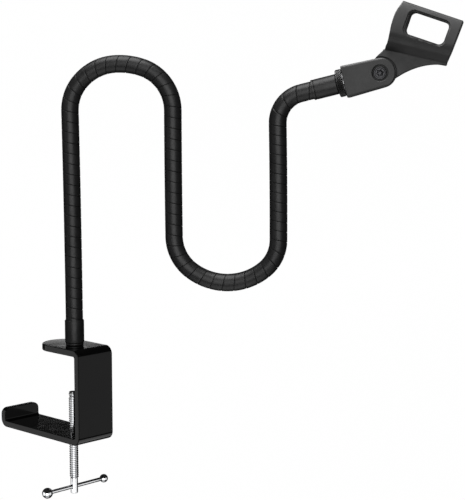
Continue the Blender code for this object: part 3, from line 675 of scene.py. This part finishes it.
def head_mesh():
    """The screw's plain head, with the hole that the bar slides in."""
    profile = [(0, SCREW_LOW.z), (HEAD_RADIUS, SCREW_LOW.z, 0.6 * MM), (HEAD_RADIUS, HEAD_TOP)]
    head = lathe("head", soften(profile + [(0, HEAD_TOP)], 0.1 * MM), 48)
    reach = HEAD_RADIUS + MM
    bore = BAR_RADIUS + GAP
    drill = lathe("drill", [(0, -reach), (bore, -reach), (bore, reach), (0, reach)], 32)
    drill.transform(upright(0, 0, BAR_Z) @ Matrix.Rotation(math.pi / 2, 4, "X"))
    return carved(head, drill)


def carved(mesh, cutter):
    """A mesh with another cut out of it."""
    whole, tool = add_object("whole", mesh), add_object("tool", cutter)
    step = whole.modifiers.new("cut", "BOOLEAN")
    step.operation = "DIFFERENCE"
    step.object = tool
    bpy.context.view_layer.update()
    made = bpy.data.meshes.new_from_object(whole.evaluated_get(bpy.context.evaluated_depsgraph_get()))
    for obj in (whole, tool):
        bpy.data.objects.remove(obj)
    return made


def joined(name, meshes):
    """Several closed meshes as one."""
    bm = bmesh.new()
    for mesh in meshes:
        bm.from_mesh(mesh)
    made = bpy.data.meshes.new(name)
    bm.to_mesh(made)
    bm.free()
    return made


def make_clamp_screw():
    """Threaded rod with its plain head, and the pin that the button swivels on."""
    pin_low = SCREW_SHOULDER - MM
    profile = [(0, pin_low), (BUTTON_PIN_RADIUS, pin_low), (BUTTON_PIN_RADIUS, SCREW_HIGH.z)]
    tip = lathe("tip", soften(profile + [(0, SCREW_HIGH.z)], 0.3 * MM), 32)
    mesh = joined("clamp_spindle", (thread_mesh(THREAD_END, SCREW_SHOULDER), tip))
    piece_from("clamp_spindle", mesh, THREADED_PAINTED_SHADE, "screw", "chrome", ["clamp_screw"], upright(SCREW_X))
    piece_from("spindle_head", head_mesh(), CHROME, "screw", "chrome", [], upright(SCREW_X))


def make_swivel_button():
    """Threaded button that swivels on the screw's pin."""
    low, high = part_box("screw_button")
    bore, roof = BUTTON_PIN_RADIUS + GAP, SCREW_HIGH.z + GAP
    profile = [(0, low.z - MM), (bore, low.z - MM), (bore, roof), (0, roof)]
    mesh = carved(thread_mesh(low.z, high.z), lathe("drill", profile, 32))
    piece_from("swivel_button", mesh, THREADED_PAINTED_SHADE, "screw_tip", "chrome", ["screw_button"],
               upright(SCREW_X))


def make_bar_ball(name, node, way):
    """Ball with a blind hole for the bar's end. way is the side of Y that the hole looks to."""
    low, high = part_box(node)
    radius = (high.x - low.x) / 2
    centre = low.y + radius if way > 0 else high.y - radius
    bore = BAR_RADIUS + GAP
    mouth = math.degrees(math.acos(bore / radius))
    profile = [(0, -radius)] + arc((0, 0), radius, -90, mouth, 28)[1:] + [(bore, -GAP), (0, -GAP)]
    turn = Matrix.Rotation(-math.pi / 2 * way, 4, "X")
    turned(name, profile, 64, CHROME, "handle", "chrome", [node], upright(SCREW_X, centre, BAR_Z) @ turn)


def make_tommy_bar():
    low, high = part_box("tommy_bar")
    profile = [(0, low.y), (BAR_RADIUS, low.y), (BAR_RADIUS, high.y), (0, high.y)]
    turned("sliding_bar", soften(profile, 0.3 * MM), 40, CHROME, "handle", "chrome", ["tommy_bar"],
           upright(SCREW_X, 0, BAR_Z) @ Matrix.Rotation(-math.pi / 2, 4, "X"))
    make_bar_ball("ball_near", "bar_ball_near", 1)
    make_bar_ball("ball_far", "bar_ball_far", -1)


# ---- the gooseneck ----


def neck_parts():
    """Legs and arches by turns, each a list of (length, turn in radians) runs."""
    parts = []
    for (length, bow), arch, way in zip(LEGS, (ARCH_1, ARCH_2, ARCH_3, ()), (-1, 1, -1, 1)):
        parts.append([(length, math.radians(bow))])
        if arch:
            parts.append([(r * math.radians(turn), way * math.radians(turn)) for r, turn in arch])
    return parts


NECK_PARTS = neck_parts()
NECK_RUNS = [run for part in NECK_PARTS for run in part]
NECK_LENGTH = sum(length for length, turn in NECK_RUNS)
NECK_PLANE = upright(NECK_X) @ Matrix.Rotation(NECK_TURN, 4, "Z")


def neck_frame(distance):
    """Place (x, z) and heading on the neck's middle line, in its own plane."""
    return walk(NECK_RUNS, distance, 0.0, NECK_START, math.pi / 2)


def neck_way(distance):
    """Direction of the neck's middle line."""
    heading = neck_frame(distance)[2]
    return NECK_PLANE.to_3x3() @ Vector((math.cos(heading), 0, math.sin(heading)))


def on_neck(distance, angle=0.0, radius=0.0):
    """A point of the hose. Angle 0 is the side away from the clamp and turns to the far side."""
    x, z, heading = neck_frame(distance)
    side = radius * math.cos(angle)
    local = (x + side * math.sin(heading), radius * math.sin(angle), z - side * math.cos(heading))
    return NECK_PLANE @ Vector(local)


def hinge_distances():
    """How far along the neck each of its hinges is."""
    samples = np.linspace(0, NECK_LENGTH, NECK_SAMPLES)
    path = np.array([on_neck(s) for s in samples])
    away = [np.linalg.norm(path - np.array(joint["pos_m"]), axis=1) for joint in NECK_JOINTS]
    return [samples[np.argmin(row)] for row in away]


def strip_turns():
    """Distances along the neck and the turns of the strip that lie before them."""
    marks, turns = [-STRIP_RUN_ON], [-STRIP_RUN_ON / (STRIP_LEADS[0] * MM)]
    lengths = [sum(length for length, turn in part) for part in NECK_PARTS]
    at = 0.0
    for length, lead in zip(lengths + [STRIP_RUN_ON], STRIP_LEADS + STRIP_LEADS[-1:]):
        at += length
        turns.append(turns[-1] + (at - marks[-1]) / (lead * MM))
        marks.append(at)
    return np.array(marks), np.array(turns)


def hose_skin(bm, start, end):
    """The wound strip's outside between two distances, as a helical grid wrapped on the neck."""
    marks, turns = strip_turns()
    groove = np.interp(GROOVE_AT, marks, turns)
    first = int(np.interp(start, marks, turns) - groove) - 2
    last = int(np.interp(end, marks, turns) - groove) + 3
    grid = []
    for j in range(HOSE_COLUMNS + 1):
        share = j / HOSE_COLUMNS
        column = []
        for k in range(first, last + 1):
            for place_in_turn, height in STRIP_ROWS:
                s = np.interp(groove + k + place_in_turn - share, turns, marks)
                column.append(bm.verts.new((s, share, HOSE_RADIUS + height * MM)))
        grid.append(column)
    quads(bm, grid)
    slice_at(bm, (start, 0, 0), (-1, 0, 0), near=0.01 * MICRON)
    slice_at(bm, (end, 0, 0), (1, 0, 0), near=0.01 * MICRON)


def hose_bore(bm, start, end):
    """The hose's plain inside."""
    count = max(2, round((end - start) / BORE_ROW))
    rows = []
    for i in range(count + 1):
        s = start + (end - start) * i / count
        rows.append([bm.verts.new((s, j / HOSE_COLUMNS, HOSE_BORE)) for j in range(HOSE_COLUMNS + 1)])
    quads(bm, rows)


def hose_mesh(name, start, end):
    """A stretch of hose, made flat as (distance, share of a turn, radius) and wrapped on the neck."""
    bm = bmesh.new()
    hose_skin(bm, start, end)
    hose_bore(bm, start, end)
    for vert in bm.verts:
        vert.co = on_neck(vert.co.x, 2 * math.pi * vert.co.y, vert.co.z)
    bmesh.ops.remove_doubles(bm, verts=bm.verts, dist=MICRON)
    for s in (start, end):
        middle, way = on_neck(s), neck_way(s)

        def on_rim(vert):
            away = vert.co - middle
            return abs(away.dot(way)) < 2 * MICRON and away.length < 2 * HOSE_RADIUS

        close_rim(bm, on_rim)
    return mesh_from_bmesh(name, bm)


def rim_reach(distance, way):
    """How far the hose's rim at a distance leans along a direction."""
    return HOSE_RADIUS * math.sin(neck_way(distance).angle(way)) + 0.05 * MM


def make_hose():
    """One stretch of hose for each hinge, from the middle of one link to the middle of the next."""
    hinges = hinge_distances()
    first = COLLAR_TOP - SOCKET_DEPTH - NECK_START + GAP
    last = NECK_LENGTH + SOCKET_DEPTH - GAP
    ends = [first] + [(a + b) / 2 for a, b in zip(hinges, hinges[1:])] + [last]
    for i, (joint, start, end) in enumerate(zip(NECK_JOINTS, ends, ends[1:])):
        name = f"hose_stretch_{i + 1:02d}"
        replaced = [f"neck_hose_{i + 1:02d}"]
        if i == len(NECK_JOINTS) - 1:
            replaced.append(f"neck_hose_{i + 2:02d}")
        obj = piece_from(name, hose_mesh(name, start, end), COATING, None, "satin_black_neck", replaced)
        a, b = on_neck(start), on_neck(end)
        way = (b - a).normalized()
        low, high = (rim_reach(s, way) for s in (start, end))
        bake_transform(obj)


# ---- the clip: its guide has X along the barrel, from the ferrule's start ----


def clip_guide():
    x, z, heading = neck_frame(NECK_LENGTH)
    return NECK_PLANE @ upright(x, 0, z) @ Matrix.Rotation(-heading, 4, "Y")


CLIP = clip_guide()
ALONG_X = Matrix.Rotation(math.pi / 2, 4, "Y")
TO_NEAR = Matrix.Rotation(math.pi / 2, 4, "X")
PIVOT = CLIP @ upright(PIVOT_AT)
CRADLE = (upright(*PIVOT.translation) @ Matrix.Rotation(NECK_TURN, 4, "Z")
          @ Matrix.Rotation(-math.radians(CRADLE_TILT), 4, "Y"))


def make_ferrule():
    """Smooth sleeve on the hose's far end, with a fine groove near its start."""
    socket, bore, outer = HOSE_RADIUS + GAP, STUD_SHANK + GAP, FERRULE_RADIUS
    start, width, depth, lean = FERRULE_GROOVE
    profile = [(bore, SOCKET_DEPTH), (socket, SOCKET_DEPTH), (socket, 0), (outer, 0, 0.4 * MM)]
    profile += [(outer, start), (outer - depth, start + lean), (outer - depth, start + width - lean)]
    profile += [(outer, start + width), (outer, FERRULE_LENGTH, 0.6 * MM), (bore, FERRULE_LENGTH)]
    turned("end_sleeve", soften(profile, 0.12 * MM, ring=True), 72, COATING, "neck_link_15",
           "satin_black_neck", ["top_ferrule"], CLIP @ ALONG_X, ring=True)


def make_lock_ring():
    """Locking ring with a slanted knurl."""
    bore = STUD_RADIUS + GAP
    low, high = RING_START + KNURL_INSET, RING_END - KNURL_INSET

    def form(radius, height, angle):
        if radius < RING_RADIUS - 0.01 * MM:
            return radius
        turn = KNURL_TEETH * (angle + KNURL_SLANT * height) / (2 * math.pi)
        return radius - KNURL_DEPTH * min(1, KNURL_ROOT * abs((turn % 1) * 2 - 1))

    profile = [(bore, RING_START)]
    profile += [(RING_RADIUS - inward, RING_START + along) for inward, along in RING_EDGE]
    profile += [(RING_RADIUS, low + (high - low) * i / KNURL_STEPS) for i in range(KNURL_STEPS + 1)]
    profile += [(RING_RADIUS - inward, RING_END - along) for inward, along in reversed(RING_EDGE)]
    profile += [(bore, RING_END)]
    turned("knurled_ring", profile, KNURL_TEETH * 8, RING_PLASTIC, "lock_ring", "black_plastic",
           ["lock_ring"], CLIP @ ALONG_X, ring=True, form=form)


# ---- shapes given by a distance field, in mm ----


def both(a, b, fillet):
    """Where two shapes overlap, with a rounded edge."""
    reach = np.hypot(np.maximum(a + fillet, 0), np.maximum(b + fillet, 0))
    return np.minimum(-fillet, np.maximum(a, b)) + reach


def either(a, b, fillet):
    """Two shapes joined, with a fillet between them."""
    reach = np.hypot(np.maximum(fillet - a, 0), np.maximum(fillet - b, 0))
    return np.maximum(fillet, np.minimum(a, b)) - reach


def without(a, b, fillet):
    """The first shape with the second cut away."""
    return both(a, -b, fillet)


def slope(field, points, reach=0.02):
    """The field's gradient."""
    made = np.empty_like(points)
    for k in range(3):
        step = np.zeros(3)
        step[k] = reach
        made[:, k] = (field(points + step) - field(points - step)) / (2 * reach)
    return made


def field_surface(field, low, high, step):
    """Points, outward normals and quads on a field's zero surface, by surface nets."""
    counts = [int(math.ceil((b - a) / step)) + 1 for a, b in zip(low, high)]
    axes = [a + step * np.arange(n) for a, n in zip(low, counts)]
    grid = np.stack(np.meshgrid(*axes, indexing="ij"), -1)
    values = field(grid.reshape(-1, 3)).reshape(counts)
    inside = values < 0
    corners = sum(inside[i:counts[0] - 1 + i, j:counts[1] - 1 + j, k:counts[2] - 1 + k].astype(np.int8)
                  for i in (0, 1) for j in (0, 1) for k in (0, 1))
    active = (corners > 0) & (corners < 8)
    index = np.full(active.shape, -1)
    index[active] = np.arange(active.sum())
    sums = np.zeros((active.sum(), 4))
    found = []
    for a in range(3):
        unit = np.eye(3, dtype=int)
        ahead = np.roll(inside, -1, axis=a)
        base = np.argwhere(inside != ahead)
        base = base[base[:, a] < counts[a] - 1]
        after = base + unit[a]
        v0, v1 = values[tuple(base.T)], values[tuple(after.T)]
        crossing = np.array(low) + step * (base + unit[a] * (v0 / (v0 - v1))[:, None])
        b, c = unit[(a + 1) % 3], unit[(a + 2) % 3]
        ring = [index[tuple((base - shift).T)] for shift in (b + c, c, 0 * b, b)]
        for cell in ring:
            np.add.at(sums[:, :3], cell, crossing)
            np.add.at(sums[:, 3], cell, 1)
        faces = np.stack(ring, 1)
        outward = inside[tuple(base.T)]
        found.append(np.where(outward[:, None], faces, faces[:, ::-1]))
    points = sums[:, :3] / sums[:, 3:]
    for _ in range(5):
        gradient = slope(field, points)
        size = np.maximum((gradient**2).sum(1, keepdims=True), 0.05)
        move = gradient * field(points)[:, None] / size
        far = np.maximum(np.linalg.norm(move, axis=1, keepdims=True) / (0.5 * step), 1)
        points = points - move / far
    normals = slope(field, points)
    normals /= np.maximum(np.linalg.norm(normals, axis=1, keepdims=True), 1e-9)
    return points, normals, np.concatenate(found)


def field_piece(name, field, low, high, step, matrix, body, nodes):
    """A moulded piece from the field inside a box in mm, placed by a matrix."""
    low, high = [a - FIELD_MARGIN for a in low], [b + FIELD_MARGIN for b in high]
    points, normals, faces = field_surface(field, low, high, step)
    turn = np.array(matrix.to_3x3())
    places = points * MM @ turn.T + np.array(matrix.translation)
    mesh = bpy.data.meshes.new(name)
    mesh.from_pydata(places.tolist(), [], faces.tolist())
    piece_from(name, mesh, PLASTIC, body, "black_plastic", nodes, sharp=180)
    mesh.normals_split_custom_set_from_vertices((normals @ turn.T).tolist())


def millimetres(*values):
    return [value / MM for value in values]


def barrel_field(points):
    """Flat-sided tapering barrel with two round ears, in mm along the clip guide."""
    x, y, z = points.T
    fillet = BARREL_FILLETS
    start, end, pivot, ear = millimetres(BARREL_START, PIVOT_AT + EAR_RADIUS, PIVOT_AT, EAR_RADIUS)
    tall, face, slot_half = millimetres(BARREL_HALF_HEIGHT, EAR_FACE, SLOT_HALF)
    wide, narrow = millimetres(*BARREL_CORNER_RADII)
    across = np.hypot(y, z)
    lean = (tall - ear) / (pivot - start)
    side = np.where(x > pivot, np.hypot(x - pivot, z) - ear, np.abs(z) - ear - (pivot - x) * lean)
    corner = across - wide - (narrow - wide) * (x - start) / (end - start)
    shape = both(side, start - x, fillet["start"])
    shape = both(shape, np.abs(y) - face, fillet["side"])
    shape = both(shape, corner, fillet["corner"])
    slot_start = (PIVOT_AT - TONGUE_RADIUS - 3 * GAP) / MM
    shape = without(shape, np.maximum(np.abs(y) - slot_half, slot_start - x), fillet["slot"])
    bore, bore_end = millimetres(INSERT_RADIUS + GAP, INSERT_END + GAP)
    shape = without(shape, np.maximum(across - bore, x - bore_end), fillet["bore"])
    about = np.hypot(x - pivot, z)
    hole, recess = millimetres(PIVOT_RADIUS + GAP, PIVOT_RECESS_RADIUS)
    recess_floor, pocket_floor = (face - (depth + GAP) / MM for depth in (PIVOT_HEAD_HEIGHT, NUT_HEIGHT))
    shape = without(shape, about - hole, fillet["pivot"])
    shape = without(shape, np.maximum(about - recess, y + recess_floor), fillet["recess"])
    across_flats = [np.abs(np.cos(turn) * (x - pivot) + np.sin(turn) * z) for turn in NUT_TURNS]
    hexagon = np.max(across_flats, axis=0) - (NUT_FLATS / 2 + GAP) / MM
    return without(shape, np.maximum(hexagon, pocket_floor - y), fillet["nut"])


def make_barrel():
    start, end, wide = millimetres(BARREL_START, PIVOT_AT + EAR_RADIUS, BARREL_HALF_HEIGHT)
    field_piece("fork_barrel", barrel_field, (start, -wide, -wide), (end, wide, wide), BARREL_GRID,
                CLIP, "barrel", ["clip_barrel"])


def make_pivot_screw():
    """Six-lobe screw in the near ear."""
    face, head = EAR_FACE, PIVOT_HEAD_RADIUS
    floor = face - PIVOT_HEAD_HEIGHT
    deep, dish, end = face - LOBE_DEPTH, face - DISH_DEPTH, 0.5 * MM - face

    def form(radius, height, angle):
        if radius <= LOBE_RADIUS and height > floor:
            return radius * (1 + LOBE_WAVE * math.cos(6 * angle))
        return radius

    profile = [(0, deep - MM), (LOBE_RADIUS * 0.9, deep), (LOBE_RADIUS, dish), (head - 1.35 * MM, dish)]
    profile += [(head - 1.1 * MM, face - 0.1 * MM), (head - 0.9 * MM, face), (head - 0.4 * MM, face)]
    profile += [(head, face - 0.4 * MM), (head, floor), (PIVOT_RADIUS, floor), (PIVOT_RADIUS, end)]
    turned("six_lobe_screw", profile + [(0, end)], 72, BLACK_STEEL, "barrel", "steel",
           ["pivot_screw"], PIVOT @ TO_NEAR, form=form, sharp=30)


def make_pivot_nut():
    """Hexagon nut in the far ear."""
    bore, flat = PIVOT_RADIUS + GAP, NUT_FLATS / 2
    corner = flat / math.cos(math.pi / 6)
    outer, inner = -EAR_FACE, NUT_HEIGHT - EAR_FACE

    def form(radius, height, angle):
        return radius if radius < flat else min(polygon_radius(angle, flat, 6), radius)

    profile = [(bore, outer), (flat, outer), (corner, outer + 0.5 * MM), (corner, inner), (bore, inner)]
    turned("hex_nut", profile, 60, STEEL, "barrel", "steel", ["pivot_nut"], PIVOT @ TO_NEAR, ring=True,
           form=form, sharp=25)


def bezier(p0, p1, p2, p3, steps):
    """Points on a cubic Bezier curve, both ends included."""
    points = []
    for i in range(steps + 1):
        t = i / steps
        weights = ((1 - t) ** 3, 3 * t * (1 - t) ** 2, 3 * t * t * (1 - t), t**3)
        points.append(tuple(sum(w * p[k] for w, p in zip(weights, (p0, p1, p2, p3))) for k in (0, 1)))
    return points


def web_outline():
    """Side outline of the tongue and of the web that flares up to the trough, in mm."""
    first, last, low_floor, high_floor = millimetres(*CRADLE_ENDS, *CRADLE_FLOORS)
    rise = (high_floor - low_floor) / (last - first)
    start, end = first + WEB_ENDS[0], last - WEB_ENDS[1]
    at_start, at_end = (low_floor + rise * (x - first) for x in (start, end))
    meet, cover = WEB_MEET
    lower = bezier(*WEB_UNDERSIDE, (end, at_end + meet), 16)
    back = bezier((start, at_start + meet), *WEB_BACK, 8)
    top = [(end, at_end + cover), (start, at_start + cover)]
    return arc((0, 0), TONGUE_RADIUS / MM, *TONGUE_ARC, 36) + lower[1:] + top + back[:-1]


WEB_OUTLINE = web_outline()


def outline_distance(x, z, outline):
    """Signed distance to a closed outline, negative inside."""
    nearest = np.full(x.shape, 1e9)
    inside = np.zeros(x.shape, bool)
    for (ax, az), (bx, bz) in zip(outline, outline[1:] + outline[:1]):
        ex, ez = bx - ax, bz - az
        t = np.clip(((x - ax) * ex + (z - az) * ez) / (ex * ex + ez * ez), 0, 1)
        nearest = np.minimum(nearest, (x - ax - t * ex) ** 2 + (z - az - t * ez) ** 2)
        if ez:
            spans = (az > z) != (bz > z)
            inside ^= spans & (x < ax + (z - az) * ex / ez)
    return np.where(inside, -1, 1) * np.sqrt(nearest)


def round_box(x, z, half_x, half_z, corner):
    """Signed distance to a rectangle with rounded corners about the origin."""
    across, up = np.abs(x) - half_x + corner, np.abs(z) - half_z + corner
    outside = np.hypot(np.maximum(across, 0), np.maximum(up, 0))
    return outside + np.minimum(np.maximum(across, up), 0) - corner


def trough_field(x, y, z):
    """C-shaped trough with bowed ends, and the field of its middle skin, in mm."""
    first, last, top, wall = millimetres(*CRADLE_ENDS, CRADLE_TOP, CRADLE_WALL)
    fillet = CRADLE_FILLETS
    share = (x - first) / (last - first)
    floor, width = ((a + (b - a) * share) / MM for a, b in (CRADLE_FLOORS, CRADLE_HALF_WIDTHS))
    radius = width - wall / 2
    rise = z - floor - wall / 2 - radius
    jaw = JAW_CURVE * radius
    above_floor, shoulder, foot = rise + radius, SHOULDER_RISE / MM, FLOOR_HALF / MM
    slant = (np.abs(y) - radius) * shoulder - (above_floor - shoulder) * (radius - foot)
    slant = slant / np.hypot(shoulder, radius - foot)
    below = both(both(np.abs(y) - radius, slant, fillet["floor"]), -above_floor, fillet["foot"])
    above = np.hypot(np.abs(y) - radius + jaw, rise) - jaw
    skin = np.where(rise < 0, below, above)
    trough = both(np.abs(skin) - wall / 2, z - top, fillet["lip"])
    near_end, far_end = (np.interp(z, *zip(*shape)) for shape in (NEAR_END_SHAPE, FAR_END_SHAPE))
    return both(trough, np.maximum(first + near_end - x, x - last + far_end), fillet["end"]), skin


def web_field(x, y, z):
    """Flat web and round tongue, thinned where the barrel's ears pass, in mm."""
    tongue, web_half, recess = millimetres(TONGUE_HALF, WEB_HALF, RECESS_RADIUS)
    middle, half, floor = EAR_GAP
    fillet = CRADLE_FILLETS
    about = np.hypot(x, z)
    web = both(np.abs(y) - web_half, outline_distance(x, z, WEB_OUTLINE), fillet["web"])
    web = without(web, np.maximum(about - recess, tongue - np.abs(y)), fillet["recess"])
    return without(web, np.maximum(np.abs(about - middle) - half, floor - np.abs(y)), fillet["ear"])


def cradle_field(points):
    """Trough on its web, with a window in each side and the pivot's hole, in mm."""
    x, y, z = points.T
    fillet = CRADLE_FILLETS
    trough, skin = trough_field(x, y, z)
    shape = either(trough, web_field(x, y, z), fillet["join"])
    hole, step_width, step_depth = millimetres(PIVOT_RADIUS + GAP, *WINDOW_STEP)
    x_mid, z_mid = (sum(pair) / 2 / MM for pair in (WINDOW_X, WINDOW_Z))
    x_half, z_half = ((pair[1] - pair[0]) / 2 / MM for pair in (WINDOW_X, WINDOW_Z))
    window = round_box(x - x_mid, z - z_mid, x_half, z_half, WINDOW_CORNER / MM)
    inner = WINDOW_START - np.abs(y)
    shape = without(shape, np.maximum(window, inner), fillet["window"])
    step = np.maximum(window - step_width, CRADLE_WALL / MM / 2 - step_depth - skin)
    shape = without(shape, np.maximum(step, inner), fillet["step"])
    return without(shape, np.hypot(x, z) - hole, fillet["pivot"])


def make_cradle():
    last, top, reach = millimetres(CRADLE_ENDS[1], CRADLE_TOP, TONGUE_RADIUS)
    half = CRADLE_HALF_WIDTHS[0] / MM
    field_piece("clip_cradle", cradle_field, (-reach, -half, -reach), (last, half, top), CRADLE_GRID,
                CRADLE, "cradle", ["mic_cradle"])


def finish_hidden_parts():
    """Procedural finishes for the CAD nodes that keep their own shape."""
    finishes = {"neck_core": BLACK_STEEL, "thread_stud": STEEL, "thread_insert": BRASS,
                "friction_washer": PLASTIC}
    for name, node in frame["nodes"].items():
        for start, finish in finishes.items():
            if name.startswith(start):
                for slot_of in node.material_slots:
                    slot_of.material = finish


# ---- stage, light and camera ----


def make_stage():
    """A white floor and a white backdrop all round, too far off to shade the object."""
    made, tree, shader = new_material("white_sweep")
    white = shade(tree, noise(tree, 3.0, 1), [0.995] * 3, [1] * 3)
    glow = add_node(tree, "ShaderNodeEmission", Color=white)
    tree.links.new(glow.outputs["Emission"], tree.nodes["Material Output"].inputs["Surface"])
    low, radius = FLOOR_Z, SWEEP_RADIUS
    profile = [(0, low), (radius * 0.6, low), (radius, low + radius * 0.4), (radius, radius * 0.7)]
    profile += [(radius * 0.6, radius), (0, radius)]
    mesh = lathe("sweep", soften(profile, SWEEP_CURVE, 10), 96)
    mesh.materials.append(made)
    mesh.shade_smooth()
    sweep = add_object("sweep", mesh)
    for ray in ("diffuse", "glossy", "shadow", "transmission", "volume_scatter"):
        setattr(sweep, f"visible_{ray}", False)


def soft_light(name, azimuth, rise, distance, width, height, radiance):
    """A soft box that looks at the object from a direction, hidden from the camera."""
    light = bpy.data.lights.new(name, "AREA")
    light.shape = "RECTANGLE"
    light.size, light.size_y = width, height
    light.energy = radiance * math.pi * width * height
    lamp = add_object(name, light)
    turn, up = math.radians(azimuth), math.radians(rise)
    way = Vector((math.cos(up) * math.cos(turn), math.cos(up) * math.sin(turn), math.sin(up)))
    lamp.location = LIGHT_AIM + way * distance
    lamp.rotation_euler = way.to_track_quat("Z", "Y").to_euler()
    lamp.visible_camera = False
    return lamp


def light_groups():
    """Collections of the pieces by finish, so that each finish can have lights of its own."""
    finishes = {"gloss_black_paint": "painted", "chrome": "plated", "black_plastic": "moulded"}
    groups = {name: bpy.data.collections.new(name) for name in (*finishes.values(), "coated")}
    for obj in bpy.context.scene.objects:
        if obj.type == "MESH" and obj.name != "sweep":
            groups[finishes.get(obj.get("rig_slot"), "coated")].objects.link(obj)
    return groups


def make_lights():
    groups = light_groups()
    for *values, group in LIGHTS:
        soft_light(*values).light_linking.receiver_collection = groups[group]
    world = bpy.data.worlds.new("studio")
    world.use_nodes = True
    world.node_tree.nodes["Background"].inputs["Color"].default_value = (*[WORLD_LIGHT] * 3, 1)
    bpy.context.scene.world = world
    bpy.context.scene.view_settings.view_transform = "Standard"


def make_camera():
    data = bpy.data.cameras.new("camera")
    data.lens = CAMERA_LENS
    data.sensor_fit = "VERTICAL"
    data.sensor_height = CAMERA_SENSOR
    camera = add_object("camera", data)
    camera.location = CAMERA_AT
    camera.rotation_euler = (math.pi / 2 + CAMERA_PITCH, 0, CAMERA_AZIMUTH)
    bpy.context.scene.camera = camera


make_camera()
make_bracket()
make_fixing_screw()
make_foot()
make_clamp_screw()
make_swivel_button()
make_tommy_bar()
make_hose()
make_ferrule()
make_lock_ring()
make_barrel()
make_pivot_screw()
make_pivot_nut()
make_cradle()
finish_hidden_parts()
make_stage()
make_lights()
